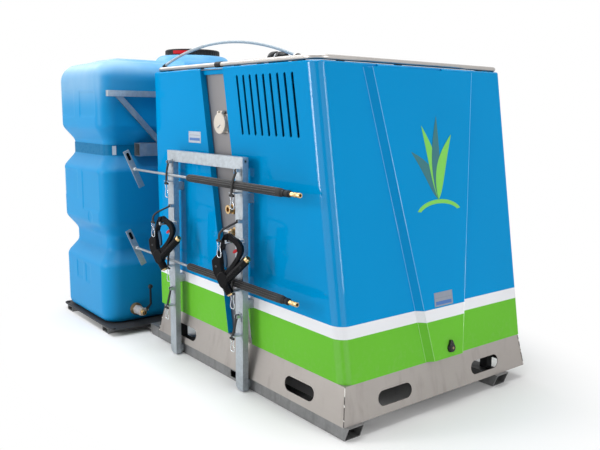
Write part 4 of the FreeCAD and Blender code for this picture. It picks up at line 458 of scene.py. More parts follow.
@dataclass(frozen=True)
class TankPlastic(Finish):
    """Blue polyethylene from a rotation mould, with a painted pale sheen on its top and its front top edge.
    Places in metres.
    """

    shine: float = 0.16
    pale: Colour = (0.04, 0.42, 0.72)
    # The pale colour of the painted sheen.
    painted_sheen: Colour = (0.48, 0.62, 0.70)
    sheen_top_fade: Pair = (1.2, 1.5)
    sheen_edge_fade: Pair = (1.28, 1.46)
    sheen_front_fade: Pair = (-0.70, -0.40)

    def paint(self, p: Paint) -> bpy.types.Material:
        """Waxy skin with flow marks, a fine grain, pale rubs, and a painted pale sheen, as of light from
        above, on the top and its front edge.

        Args:
            p: the new tree.

        Returns:
            The material.
        """
        cloud = p.noise(3.0, 3.0)
        flow = p.noise(7.0, 4.0, (1.0, 1.0, 0.25))
        rub = p.noise(26.0, 5.0, (0.6, 0.6, 1.0)).ramp(0.66, 0.8)
        height = p.axis("Z")
        # Painted sheen: faces turned up are paled, more so near the top, as if lit from above.
        top = p.facing("Z").ramp(0.1, 0.6) * (0.2 + 0.8 * height.ramp(*self.sheen_top_fade))
        # Painted highlight along the front top edge, weaker on faces turned to +X, which lie in shade.
        edge = (1.0 - p.axis("Y").ramp(*self.sheen_front_fade)) * height.ramp(*self.sheen_edge_fade)
        edge = edge * (1.0 - 0.85 * p.facing("X").ramp(0.35, 0.9))
        base = p.tint(self.colour, cloud, 0.06)
        base = p.blend(0.08 * flow + 0.08 * rub, base, self.pale)
        base = p.blend(top * (0.13 + 0.16 * flow), base, self.painted_sheen)
        base = p.blend(edge * (0.20 + 0.26 * flow), base, self.painted_sheen)
        return p.finish(
            Base_Color=base,
            Specular_IOR_Level=self.shine,
            Roughness=self.rough + 0.08 * cloud + 0.08 * rub,
            Subsurface_Weight=0.12,
            Subsurface_Radius=(0.004, 0.012, 0.02),
            Subsurface_Scale=1.0,
            Normal=p.relief(p.noise(420.0, 3.0) + 2.5 * flow, 0.00010),
        )


@dataclass(frozen=True)
class SheetSteel(Finish):
    """Metal with a brushed or rolled grain and stains."""

    brush: Triple = (0.02, 0.02, 1.0)
    stain: Colour = (0.33, 0.31, 0.29)
    metal: float = 1.0

    def paint(self, p: Paint) -> bpy.types.Material:
        """Fine lines along the grain, clouded by handling.

        Args:
            p: the new tree.

        Returns:
            The material.
        """
        lines = p.noise(700.0, 3.0, self.brush)
        cloud = p.noise(5.0, 4.0)
        smear = p.noise(18.0, 5.0, (1.0, 1.0, 0.3)).ramp(0.5, 0.8)
        base = p.tint(self.colour, lines, 0.07)
        return p.finish(
            Base_Color=p.blend(0.35 * smear + 0.2 * cloud, base, self.stain),
            Metallic=self.metal,
            Roughness=self.rough + 0.14 * cloud + 0.10 * lines,
            Normal=p.relief(lines, 0.00003),
        )


@dataclass(frozen=True)
class WeldBead(Finish):
    """A dark weld that is ground bright in places."""

    bright: Colour = (0.75, 0.73, 0.70)

    def paint(self, p: Paint) -> bpy.types.Material:
        """Scale with bright spots of no regular step.

        Args:
            p: the new tree.

        Returns:
            The material.
        """
        spots = p.noise(75.0, 2.0).ramp(0.54, 0.60)
        return p.finish(
            Base_Color=p.blend(spots, self.colour, self.bright),
            Metallic=0.6,
            Roughness=self.rough,
            Normal=p.relief(p.noise(400.0, 2.0), 0.0003),
        )


@dataclass(frozen=True)
class ZincCoat(Finish):
    """Hot-dip zinc with crystals of some millimetres and dull runs."""

    crystals: float = 110.0
    dull: Colour = (0.36, 0.38, 0.40)
    edge_bend: float = 0.012

    def paint(self, p: Paint) -> bpy.types.Material:
        """Cells of differing brightness and gloss under soft streaks.

        Args:
            p: the new tree.

        Returns:
            The material.
        """
        cell = p.crystals(self.crystals, self.edge_bend)
        cloud = p.noise(7.0, 4.0)
        run = p.noise(22.0, 4.0, (1.0, 1.0, 0.12)).ramp(0.45, 0.75)
        base = p.tint(self.colour, cell, 0.13)
        return p.finish(
            Base_Color=p.blend(0.35 * run + 0.15 * cloud, base, self.dull),
            Metallic=0.85,
            Roughness=self.rough + 0.16 * cell + 0.14 * run,
            Normal=p.relief(cell + 0.6 * p.noise(160.0, 3.0), 0.00006),
        )


@dataclass(frozen=True)
class TurnedMetal(Finish):
    """Brass, plated or polished metal from a lathe."""

    shine: float = 0.35
    tarnish: Colour = (0.25, 0.17, 0.08)
    metal: float = 1.0

    def paint(self, p: Paint) -> bpy.types.Material:
        """Bright metal with tool marks and a thin tarnish in patches.

        Args:
            p: the new tree.

        Returns:
            The material.
        """
        marks = p.noise(1500.0, 2.0, (1.0, 0.05, 0.05))
        patch = p.noise(55.0, 4.0).ramp(0.45, 0.75)
        base = p.tint(self.colour, marks, 0.06)
        return p.finish(
            Base_Color=p.blend(patch * 0.35, base, self.tarnish),
            Metallic=self.metal,
            Specular_IOR_Level=self.shine,
            Roughness=self.rough + 0.18 * patch + 0.05 * marks,
            Normal=p.relief(marks, 0.00001),
        )


@dataclass(frozen=True)
class Rubber(Finish):
    """Matt black rubber with a bloom of dust."""

    shine: float = 0.3
    bloom: Colour = (0.11, 0.11, 0.115)

    def paint(self, p: Paint) -> bpy.types.Material:
        """Dark skin, greyed where it is handled.

        Args:
            p: the new tree.

        Returns:
            The material.
        """
        patch = p.noise(40.0, 5.0)
        return p.finish(
            Base_Color=p.blend(patch.ramp(0.4, 0.8) * 0.35, self.colour, self.bloom),
            Specular_IOR_Level=self.shine,
            Roughness=self.rough + 0.15 * patch,
            Normal=p.relief(p.noise(1200.0, 3.0), 0.00005),
        )


@dataclass(frozen=True)
class PlateFoil(Finish):
    """A blank plate: a pale field with two plain bars. Places and halves of its sides in metres."""

    centre: Triple = (0.0, 0.0, 0.0)
    across: str = "X"
    half: Pair = (0.059, 0.028)
    bar: Colour = (0.03, 0.14, 0.42)
    second: Colour = (0.20, 0.22, 0.25)

    def paint(self, p: Paint) -> bpy.types.Material:
        """The field, a wide blue bar low down and a thin grey one above it.

        Args:
            p: the new tree.

        Returns:
            The material.
        """
        middle = Vector(self.centre)
        wide, high = self.half
        height = p.axis("Z", middle)
        inside = 1.0 - p.axis(self.across, middle).size().above(wide * 0.86)
        low_bar = height.between(-high * 0.62, -high * 0.12) * inside
        thin_bar = height.between(high * 0.28, high * 0.42) * inside
        worn = p.noise(80.0, 4.0)
        base = p.tint(self.colour, worn, 0.08)
        base = p.blend(low_bar * 0.9, base, self.bar)
        return p.finish(
            Base_Color=p.blend(thin_bar * 0.5, base, self.second),
            Metallic=0.2,
            Roughness=self.rough + 0.15 * worn,
            Normal=p.relief(p.noise(400.0, 2.0), 0.00002),
        )


class Coat(Enum):
    """Every finish of the machine."""

    HOOD = HoodPaint("hood_gloss_paint", (0.0, 0.252, 0.560), 0.32)
    # Lighter copies of the hood's colours: a painted highlight for the door's bends.
    EDGE = HoodPaint("hood_bend_painted_highlight", (0.09, 0.42, 0.76), 0.30, 0.1, (0.80, 0.82, 0.84), (0.30, 0.66, 0.16))
    STAINLESS = SheetSteel("satin_stainless", (0.37, 0.345, 0.325), 0.42, stain=(0.20, 0.175, 0.165))
    PANEL = SheetSteel("panel_stainless", (0.22, 0.215, 0.22), 0.38, (1.0, 0.02, 0.02), (0.20, 0.19, 0.19))
    RAIL = SheetSteel("polished_tube", (0.46, 0.44, 0.42), 0.26, (0.2, 0.2, 0.2), (0.34, 0.32, 0.30))
    PLATFORM = SheetSteel("platform_sheet", (0.020, 0.020, 0.023), 0.56, (0.05, 1.0, 0.05),
                          (0.016, 0.016, 0.017), 0.0)
    ALLOY = SheetSteel("cast_alloy", (0.55, 0.56, 0.58), 0.40)
    WELD = WeldBead("weld_bead", (0.07, 0.065, 0.06), 0.36)
    ZINC = ZincCoat("zinc_spangle", (0.40, 0.44, 0.475), 0.36)
    DULL_ZINC = ZincCoat("zinc_dull", (0.26, 0.262, 0.265), 0.46, 90.0, (0.15, 0.15, 0.15))
    DECK = ZincCoat("deck_steel", (0.085, 0.088, 0.092), 0.55, 60.0, (0.04, 0.04, 0.04))
    BAR = ZincCoat("nozzle_bar_zinc", (0.34, 0.37, 0.39), 0.36)
    TANK = TankPlastic("tank_polyethylene", (0.001, 0.240, 0.53), 0.36)
    BELT = TurnedMetal("belt_gloss", (0.002, 0.15, 0.32), 0.36, 0.08, (0.002, 0.11, 0.24), 0.0)
    BRASS = TurnedMetal("turned_brass", (0.72, 0.50, 0.24), 0.26)
    BRONZE = TurnedMetal("dull_bronze", (0.30, 0.23, 0.13), 0.38, 0.5, (0.12, 0.09, 0.05))
    CHROME = TurnedMetal("plated_nut", (0.62, 0.58, 0.55), 0.34, 0.5, (0.42, 0.36, 0.30), 0.45)
    WIRE = TurnedMetal("bright_wire", (0.66, 0.69, 0.72), 0.20, 0.5, (0.34, 0.40, 0.46))
    BLACK = Moulding("black_moulding", (0.007, 0.007, 0.008), 0.40, 0.2)
    DEEP = Moulding("matt_black_liner", (0.002, 0.002, 0.002), 0.6, 0.05)
    KNOB = Moulding("black_gloss_knob", (0.008, 0.008, 0.009), 0.22)
    RED = Moulding("red_moulding", (0.50, 0.012, 0.02), 0.30)
    PALE_RED = Moulding("faded_red_moulding", (0.58, 0.012, 0.018), 0.46, 0.12)
    CREAM = Moulding("cream_moulding", (0.60, 0.55, 0.48), 0.32)
    MACHINE = Moulding("grey_machine_paint", (0.18, 0.21, 0.25), 0.40)
    IRON = Moulding("cast_iron_paint", (0.07, 0.07, 0.075), 0.55)
    GUN = Moulding("gun_moulding", (0.003, 0.003, 0.004), 0.34, 0.14)
    TRIGGER = Moulding("trigger_moulding", (0.03, 0.07, 0.12), 0.30, 0.3)
    HOSE = Moulding("hose_grey_blue", (0.25, 0.33, 0.40), 0.34)
    HOSE_RIB = Moulding("hose_rib_pale", (0.50, 0.56, 0.60), 0.36)
    STRAP = Rubber("strap_rubber", (0.005, 0.005, 0.006), 0.46, bloom=(0.016, 0.016, 0.018))
    GRIP = Rubber("grip_rubber", (0.002, 0.002, 0.003), 0.42, 0.05, (0.006, 0.006, 0.008))
    # Grey for the grips' ridges: painted highlight streaks.
    RIB_HIGHLIGHT = Rubber("grip_rib_painted_highlight", (0.05, 0.05, 0.053), 0.36, bloom=(0.11, 0.11, 0.12))
    LEAF = Print("leaf_green_film", (0.17, 0.55, 0.07), 0.35)
    STEM = Print("deep_green_film", (0.012, 0.14, 0.16), 0.38)
    TAG = Print("white_tag", (0.72, 0.76, 0.78), 0.40)
    FRONT_PLATE = PlateFoil("front_plate_foil", (0.44, 0.49, 0.56), 0.32, tuple(at(-1183.2, 26.0, 1098.0)))
    DOOR_PLATE = PlateFoil("door_plate_foil", (0.24, 0.27, 0.33), 0.32, tuple(at(-42.0, 618.0, 418.0)), "Y",
                           (0.060, 0.031))


# Meshes


class Shape:
    """The points and faces of one piece, in metres."""

    def __init__(self) -> None:
        """Start with nothing."""
        self.points: list[Vector] = []
        self.faces: list[tuple[int, ...]] = []

    def ring(self, points: Iterable[Vector]) -> list[int]:
        """Add points.

        Args:
            points: their places.

        Returns:
            Their numbers.
        """
        first = len(self.points)
        self.points += [Vector(p) for p in points]
        return list(range(first, len(self.points)))

    def bridge(self, a: Sequence[int], b: Sequence[int]) -> None:
        """Join two closed rings.

        Args:
            a: the points of one.
            b: as many points of the other.
        """
        count = len(a)
        for i in range(count):
            j = (i + 1) % count
            self.faces.append((a[i], a[j], b[j], b[i]))

    def loft(self, rings: Sequence[Iterable[Vector]], loop: bool = False) -> "Shape":
        """Skin rings of equal count.

        Args:
            rings: the rings in their order.
            loop: True to join the last to the first, else both ends are closed flat.

        Returns:
            The shape itself.
        """
        rows = [self.ring(r) for r in rings]
        for a, b in zip(rows, rows[1:]):
            self.bridge(a, b)
        if loop:
            self.bridge(rows[-1], rows[0])
        else:
            self.faces += [tuple(reversed(rows[0])), tuple(rows[-1])]
        return self

    def slab(self, outline: Sequence[Vector], push: Vector) -> "Shape":
        """Push a flat outline through a distance."""
        return self.loft([outline, [p + push for p in outline]])

    def turned(self, start: Vector, axis: Vector, profile: Sequence[Pair], steps: int,
               loop: bool = False, wave: Callable[[float, float], float] | None = None) -> "Shape":
        """Turn a profile about an axis.

        Args:
            start: where the axis begins, in metres.
            axis: its direction.
            profile: (along, radius) pairs in millimetres.
            steps: how many sides.
            loop: True if the profile closes on itself, as a ring's does.
            wave: a change of radius in millimetres for (along, angle), for ribs and flutes.

        Returns:
            The shape itself.
        """
        axis = axis.normalized()
        side = axis.orthogonal().normalized()
        other = axis.cross(side)
        rings = []
        for along, radius in profile:
            ring = []
            for k in range(steps):
                a = 2.0 * math.pi * k / steps
                r = radius + (wave(along, a) if wave else 0.0)
                out = side * math.cos(a) + other * math.sin(a)
                ring.append(start + (axis * along + out * r) / MM_PER_M)
            rings.append(ring)
        return self.loft(rings, loop)

    def rod(self, path: Sequence[Vector], radius: float, sides: int) -> "Shape":
        """Sweep a round along an open path.

        Args:
            path: its points in metres.
            radius: the round's, in millimetres.
            sides: how many sides the round has.

        Returns:
            The shape itself.
        """
        heads = [(b - a).normalized() for a, b in zip([path[0], *path], [*path[1:], path[-1]])]
        side = heads[0].orthogonal().normalized()
        rings = []
        for point, head in zip(path, heads):
            side = (side - head * side.dot(head)).normalized()
            other = head.cross(side)
            ring = []
            for k in range(sides):
                a = 2.0 * math.pi * k / sides
                ring.append(point + (side * math.cos(a) + other * math.sin(a)) * radius / MM_PER_M)
            rings.append(ring)
        return self.loft(rings)

    def mesh(self, name: str, smooth: float) -> bpy.types.Mesh:
        """Make the mesh, its normals outwards.

        Args:
            name: the mesh's name.
            smooth: the angle in degrees over which an edge is sharp.

        Returns:
            The mesh.
        """
        made = bpy.data.meshes.new(name)
        made.from_pydata([tuple(p) for p in self.points], [], self.faces)
        work = bmesh.new()
        work.from_mesh(made)
        bmesh.ops.recalc_face_normals(work, faces=work.faces)
        work.to_mesh(made)
        work.free()
        return smoothed(made, smooth)


def smoothed(mesh: bpy.types.Mesh, smooth: float) -> bpy.types.Mesh:
    """Shade a mesh smooth between its sharp edges.

    Args:
        mesh: the mesh.
        smooth: the angle in degrees over which an edge is sharp.

    Returns:
        The mesh itself.
    """
    mesh.polygons.foreach_set("use_smooth", [True] * len(mesh.polygons))
    mesh.set_sharp_from_angle(angle=math.radians(smooth))
    mesh.update()
    return mesh


def rounded(path: Sequence[Vector], times: int, closed: bool = False) -> list[Vector]:
    """Cut a path's corners into curves.

    Args:
        path: its points.
        times: how often each corner is cut.
        closed: True for an outline.

    Returns:
        The finer path.
    """
    points = [Vector(p) for p in path]
    for _ in range(times):
        cut: list[Vector] = []
        ends = points[1:] + points[:1] if closed else points[1:]
        for a, b in zip(points, ends):
            cut += [a.lerp(b, 0.25), a.lerp(b, 0.75)]
        points = cut if closed else [points[0], *cut[1:-1], points[-1]]
    return points


@dataclass
class Workshop:
    """Keeps the frame, and puts each piece on its body."""

    frame: dict[str, Any]
    count: int = 0

    def body_of(self, node: str) -> str:
        """The body that a CAD node rides on."""
        return self.frame["nodes"][node]["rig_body"]

    def dress(self, coat: Coat, *nodes: str) -> None:
        """Give CAD nodes their finish.

        Args:
            coat: the finish.
            nodes: the nodes' names.
        """
        for node in nodes:
            mesh = self.frame["nodes"][node].data
            mesh.materials.clear()
            mesh.materials.append(coat.value.material())
            LOG.info("%s keeps its CAD shape", node)

    def add(self, name: str, shape: Shape | bpy.types.Mesh, coat: Coat, body: str, slot: str,
            replaces: Sequence[str] = (), bevel: float = 0.0, smooth: float = SHARP_OVER) -> None:
        """Make one piece and set it on its body.

        Args:
            name: the piece's name.
            shape: its shape, or a finished mesh.
            coat: its finish.
            body: the CAD body it rides on.
            slot: the record's material slot; not used.
            replaces: the CAD nodes it stands for.
            bevel: the rounding of its edges in millimetres, or 0.
            smooth: the angle in degrees over which an edge is sharp.
        """
        mesh = shape.mesh(name, smooth) if isinstance(shape, Shape) else shape
        mesh.materials.clear()
        mesh.materials.append(coat.value.material())
        made = bpy.data.objects.new(name, mesh)
        bpy.context.scene.collection.objects.link(made)
        if bevel:
            edge = made.modifiers.new("edge", "BEVEL")
            edge.width = bevel / MM_PER_M
            edge.segments = 3
            edge.limit_method = "ANGLE"
            edge.angle_limit = math.radians(30.0)
        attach(made, body)
        if replaces:
            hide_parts(*replaces)
        self.count += 1
        LOG.info("%s rides on %s", name, body)


# Repeated pieces


class GrowthTree(Tree):
    """A geometry tree in the making."""

    def __init__(self, name: str, sizes: dict[str, float]) -> None:
        """Open a tree with a geometry input and named sizes.

        Args:
            name: the tree's name.
            sizes: the name of each size and its default in metres.
        """
        super().__init__(bpy.data.node_groups.new(name, "GeometryNodeTree"))
        face = self.tree.interface
        face.new_socket("Geometry", in_out="INPUT", socket_type="NodeSocketGeometry")
        for key, value in sizes.items():
            face.new_socket(key, in_out="INPUT", socket_type="NodeSocketFloat").default_value = value
        face.new_socket("Geometry", in_out="OUTPUT", socket_type="NodeSocketGeometry")
        self.inputs = self.tree.nodes.new("NodeGroupInput").outputs

    def close(self, instances: bpy.types.NodeSocket, coat: Coat) -> bpy.types.NodeTree:
        """End the tree in real meshes with their finish.

        Args:
            instances: what the tree has set out.
            coat: the finish.

        Returns:
            The finished tree.
        """
        real = self.node("GeometryNodeRealizeInstances", {}, {0: instances})
        dressed = self.node("GeometryNodeSetMaterial", {},
                            {"Geometry": real.outputs[0], "Material": coat.value.material()})
        self.node("NodeGroupOutput", {}, {0: dressed.outputs[0]})
        return self.tree


def grown(name: str, seed: bpy.types.Mesh, tree: bpy.types.NodeTree, sizes: dict[str, float],
          smooth: float = SHARP_OVER) -> bpy.types.Mesh:
    """Run a tree on a seed mesh and keep the plain result.

    Args:
        name: the new mesh's name.
        seed: what the tree starts from.
        tree: the geometry tree.
        sizes: the value of each named input, in millimetres.
        smooth: the angle in degrees over which an edge is sharp.

    Returns:
        The result as a mesh.
    """
    holder = bpy.data.objects.new(name + "_seed", seed)
    bpy.context.scene.collection.objects.link(holder)
    modifier = holder.modifiers.new("grow", "NODES")
    modifier.node_group = tree
    for item in tree.interface.items_tree:
        if item.in_out == "INPUT" and item.name in sizes:
            modifier[item.identifier] = sizes[item.name] / MM_PER_M
    bpy.context.view_layer.update()
    graph = bpy.context.evaluated_depsgraph_get()
    made = bpy.data.meshes.new_from_object(holder.evaluated_get(graph))
    made.name = name
    bpy.data.objects.remove(holder)
    return smoothed(made, smooth)


@dataclass
class RivetHeads:
    """Round heads on washers, set out by a geometry tree."""

    coat: Coat
    sides: int = 14
    washer_sides: int = 20
    washer_wide: float = 1.35
    washer_thick: float = 0.35

    def tree(self) -> bpy.types.NodeTree:
        """A head on a washer at every point, square to the point's facing.

        Returns:
            The tree.
        """
        t = GrowthTree("rivet_heads", {"Head Radius": 0.006, "Head Height": 0.004})
        radius, height = Value(t, t.inputs["Head Radius"]), Value(t, t.inputs["Head Height"])
        top = t.node("ShaderNodeCombineXYZ", {}, {2: height * 0.5})
        head = t.node("GeometryNodeMeshCylinder", {"fill_type": "NGON"},
                      {"Vertices": self.sides, "Radius": radius, "Depth": height})
        washer = t.node("GeometryNodeMeshCylinder", {"fill_type": "NGON"},
                        {"Vertices": self.washer_sides, "Radius": radius * self.washer_wide,
                         "Depth": height * self.washer_thick})
        lifted = t.node("GeometryNodeTransform", {},
                        {"Geometry": head.outputs["Mesh"], "Translation": top.outputs[0]})
        both = t.node("GeometryNodeJoinGeometry")
        t.feed(both.inputs[0], lifted.outputs[0])
        t.feed(both.inputs[0], washer.outputs["Mesh"])
        facing = t.node("GeometryNodeInputNamedAttribute", {"data_type": "FLOAT_VECTOR"}, {"Name": "facing"})
        turn = t.node("FunctionNodeAlignRotationToVector", {"axis": "Z"}, {"Vector": facing.outputs[0]})
        placed = t.node("GeometryNodeInstanceOnPoints", {}, {
            "Points": t.inputs["Geometry"], "Instance": both.outputs[0], "Rotation": turn.outputs[0]})
        return t.close(placed.outputs[0], self.coat)

    def mesh(self, name: str, places: Sequence[Vector], facing: Vector, radius: float,
             height: float) -> bpy.types.Mesh:
        """Set heads out at places.

        Args:
            name: the mesh's name.
            places: the heads' places in metres.
            facing: the direction in which they all stand up.
            radius: a head's radius in millimetres.
            height: its height in millimetres.

        Returns:
            The heads as one mesh.
        """
        seed = bpy.data.meshes.new(name)
        seed.from_pydata([tuple(p) for p in places], [], [])
        for item in seed.attributes.new("facing", "FLOAT_VECTOR", "POINT").data:
            item.vector = facing
        return grown(name, seed, self.tree(), {"Head Radius": radius, "Head Height": height})


@dataclass
class Rings:
    """Round ribs along a path, set out by a geometry tree."""

    coat: Coat
    ring_sides: int = 20
    wire_sides: int = 6
    smooth: float = 80.0

    def tree(self) -> bpy.types.NodeTree:
        """A ring round the path at every step.

        Returns:
            The tree.
        """
        t = GrowthTree("path_rings", {"Pitch": 0.008, "Ring Radius": 0.007, "Wire Radius": 0.001})
        line = t.node("GeometryNodeMeshToCurve", {}, {0: t.inputs["Geometry"]})
        steps = t.node("GeometryNodeResampleCurve", {"mode": "LENGTH"},
                       {"Curve": line.outputs[0], "Length": t.inputs["Pitch"]})
        heads = t.node("GeometryNodeCurveToPoints", {"mode": "EVALUATED"}, {0: steps.outputs[0]})
        circle = t.node("GeometryNodeCurvePrimitiveCircle", {},
                        {"Resolution": self.ring_sides, "Radius": t.inputs["Ring Radius"]})
        wire = t.node("GeometryNodeCurvePrimitiveCircle", {},
                      {"Resolution": self.wire_sides, "Radius": t.inputs["Wire Radius"]})
        ring = t.node("GeometryNodeCurveToMesh", {},
                      {"Curve": circle.outputs[0], "Profile Curve": wire.outputs[0]})
        placed = t.node("GeometryNodeInstanceOnPoints", {}, {
            "Points": heads.outputs["Points"], "Instance": ring.outputs[0],
            "Rotation": heads.outputs["Rotation"]})
        return t.close(placed.outputs[0], self.coat)

    def mesh(self, name: str, path: Sequence[Vector], pitch: float, ring: float,
             wire: float) -> bpy.types.Mesh:
        """Set rings out along a path.

        Args:
            name: the mesh's name.
            path: its points in metres.
            pitch: the step from ring to ring in millimetres.
            ring: a ring's radius in millimetres.
            wire: the radius of the ring's wire in millimetres.

        Returns:
            The rings as one mesh.
        """
        seed = bpy.data.meshes.new(name)
        seed.from_pydata([tuple(p) for p in path], [(i, i + 1) for i in range(len(path) - 1)], [])
        sizes = {"Pitch": pitch, "Ring Radius": ring, "Wire Radius": wire}
        return grown(name, seed, self.tree(), sizes, self.smooth)


# Sub-assemblies


def clamped(share: float) -> float:
    """The number, kept between 0 and 1."""
    return min(max(share, 0.0), 1.0)


@dataclass
class Tank:
    """The moulded water tank with its lid, belt and bare panels. Sizes in millimetres."""

    left: float = -2545.0
    right: float = -1865.0
    front: float = -177.0
    back: float = 1385.0
    bottom: float = -20.0
    top: float = 1505.0
    wall: float = 8.0
    corner: float = 95.0
    least_corner: float = 60.0
    corner_loss: float = 0.42
    foot: float = 45.0
    foot_gap: float = 8.0
    foot_rows: int = 6
    fine_rows: int = 160
    plain_rows: int = 44
    shoulder: float = 110.0
    shoulder_turn: float = 63.0
    shoulder_rows: int = 7
    crown: float = 22.0
    crown_run: float = 90.0
    waist_depth: float = 60.0
    waist_stops: Profile = ((-100.0, 0.0), (330.0, 0.0), (410.0, 1.0), (490.0, 1.0), (570.0, 0.0),
                            (885.0, 0.0), (965.0, 1.0), (1045.0, 1.0), (1125.0, 0.0), (1600.0, 0.0))
    waist_reach: tuple[float, ...] = (-15.0, -10.0, -5.0, 0.0, 5.0, 10.0, 15.0)
    along_front: int = 100
    along_side: int = 40
    round_corner: int = 12
    panels: tuple[Quad, ...] = (
        (-2475.0, -2268.0, 1188.0, 1336.0), (-2178.0, -1950.0, 1190.0, 1332.0),
        (-2490.0, -2262.0, 700.0, 862.0), (-2184.0, -1946.0, 640.0, 866.0),
        (-2322.0, -2226.0, 196.0, 300.0), (-2184.0, -2110.0, 190.0, 298.0))
    panel_depth: float = 3.6
    mark: Triple = (-2080.0, 600.0, 30.0)
    mark_depth: float = 3.0
    bank: float = 6.0
    front_depth: float = 64.0
    dome_foot: float = 262.0
    dome_rows: int = 7
    dome: Profile = ((253.0, 1530.0), (245.0, 1536.0), (239.0, 1545.0), (223.0, 1562.0), (213.0, 1570.0),
                     (201.0, 1574.0), (160.0, 1574.0), (150.0, 1575.5))
    lining_foot: float = 245.0
    lining_rows: int = 5
    lining: Profile = ((229.0, 1531.0), (201.0, 1564.0), (140.0, 1566.0))
    neck: float = 150.0
    neck_bore: float = 140.0
    neck_top: float = 1604.0
    threads: Triple = (1578.0, 1586.0, 1594.0)
    thread: Profile = ((0.0, 0.0), (1.6, 2.0), (0.0, 4.0))
    lid_low: float = 1576.0
    lid_sides: int = 288
    lid: Profile = ((0.0, 153.0), (0.0, 171.0), (1.5, 175.0), (4.0, 175.0), (5.0, 175.0), (25.0, 175.0),
                    (26.0, 175.0), (29.0, 175.0), (35.0, 172.0), (37.5, 166.0), (37.5, 149.0), (35.0, 146.0),
                    (35.0, 123.0), (38.0, 119.0), (38.0, 60.0), (36.0, 56.0), (36.0, 4.0), (28.0, 4.0),
                    (28.0, 152.0), (0.0, 152.0))
    skirt_ribs: int = 48
    skirt_rib_depth: float = 2.2
    skirt_rib_span: Pair = (4.0, 26.0)
    top_ribs: int = 6
    top_rib_turn: float = 12.0
    top_rib_out: float = 100.0
    top_rib_up: float = 37.0
    top_rib_half: Pair = (22.0, 6.0)
    top_rib_high: float = 0.9
    tag_x: float = -1922.5
    tag_y: Pair = (-92.0, -68.0)
    tag_z: Pair = (972.0, 1024.0)
    tag_thick: float = 0.4

    @property
    def middle(self) -> Vector:
        """The tank's centre in plan."""
        return Vector(((self.left + self.right) / 2, (self.front + self.back) / 2, 0.0))

    def inset(self, z: float) -> float:
        """How far the side is drawn in at a height.

        Args:
            z: the height.

        Returns:
            The mean over a short reach, which softens the waists' bends.
        """
        total = 0.0
        for step in self.waist_reach:
            level = z + step
            for (z0, a), (z1, b) in zip(self.waist_stops, self.waist_stops[1:]):
                if z0 <= level <= z1:
                    total += a + (b - a) * (level - z0) / (z1 - z0)
                    break
        return self.waist_depth * total / len(self.waist_reach)

    def ring(self, z: float, inset: float, emboss: bool = False) -> list[Vector]:
        """The outline at a height.

        Args:
            z: the height.
            inset: how far it is drawn in.
            emboss: True to press the panels in.

        Returns:
            Its points in millimetres.
        """
        r = max(self.corner - inset * self.corner_loss, self.least_corner)
        x0, x1 = self.left + inset, self.right - inset
        y0, y1 = self.front + inset, self.back - inset
        points = []
        runs = (((x0 + r, y0), (x1 - r, y0), self.along_front, (x1 - r, y0 + r), -90.0),
                ((x1, y0 + r), (x1, y1 - r), self.along_side, (x1 - r, y1 - r), 0.0),
                ((x1 - r, y1), (x0 + r, y1), self.along_front, (x0 + r, y1 - r), 90.0),
                ((x0, y1 - r), (x0, y0 + r), self.along_side, (x0 + r, y0 + r), 180.0))
        for (ax, ay), (bx, by), count, (cx, cy), start in runs:
            for k in range(count):
                t = k / count
                points.append(Vector((ax + (bx - ax) * t, ay + (by - ay) * t, z)))
            for k in range(self.round_corner):
                a = math.radians(start + 90.0 * k / self.round_corner)
                points.append(Vector((cx + r * math.cos(a), cy + r * math.sin(a), z)))
        return [self.pressed(p) for p in points] if emboss else points

    def pressed(self, p: Vector) -> Vector:
        """A point of the skin, pushed in where it lies in a panel or in the round mark.

        Args:
            p: the point in millimetres.

        Returns:
            The point, moved back if it is one of the front's.
        """
        if p.y >= self.front + self.front_depth:
            return p
        depth = 0.0
        for x0, x1, z0, z1 in self.panels:
            inside = min(p.x - x0, x1 - p.x, p.z - z0, z1 - p.z)
            depth = max(depth, self.panel_depth * clamped(inside / self.bank + 0.5))
        mark_x, mark_z, radius = self.mark
        inside = radius - math.hypot(p.x - mark_x, p.z - mark_z)
        depth = max(depth, self.mark_depth * clamped(inside / self.bank + 0.5))
        return Vector((p.x, p.y + depth, p.z))

    def skin_height(self, x: float, y: float, drop: float) -> float:
        """The height of the top skin over a point in plan.

        Args:
            x: the point's place along the front.
            y: its place in depth.
            drop: how far the skin is lowered.

        Returns:
            The height in millimetres.
        """
        m = self.middle
        qx = abs(x - m.x) - ((self.right - self.left) / 2 - self.corner)
        qy = abs(y - m.y) - ((self.back - self.front) / 2 - self.corner)
        outside = math.hypot(max(qx, 0.0), max(qy, 0.0)) + min(max(qx, qy), 0.0) - self.corner
        d = max(-outside - drop, 0.0)
        if d < self.shoulder:
            rise = math.sqrt(self.shoulder ** 2 - (self.shoulder - d) ** 2)
            return self.top - self.shoulder + rise - drop
        t = min((d - self.shoulder) / self.crown_run, 1.0)
        return self.top + self.crown * t * t * (3.0 - 2.0 * t) - drop

    def over(self, outline: Sequence[Vector], radius: float, drop: float, steps: int) -> list[list[Vector]]:
        """Rings over the top, from an outline to a circle about the middle.

        Args:
            outline: the outline, in millimetres.
            radius: the circle's radius.
            drop: how far the skin is lowered.
            steps: how many rings.

        Returns:
            The rings.
        """
        m = self.middle
        wide, deep = (self.right - self.left) / 2, (self.back - self.front) / 2
        rings = []
        for k in range(1, steps + 1):
            t = k / steps
            ring = []
            for p in outline:
                a = math.atan2((p.y - m.y) / deep, (p.x - m.x) / wide)
                end = Vector((m.x + radius * math.cos(a), m.y + radius * math.sin(a)))
                x, y = p.x + (end.x - p.x) * t, p.y + (end.y - p.y) * t
                ring.append(Vector((x, y, self.skin_height(x, y, drop))))
            rings.append(ring)
        return rings

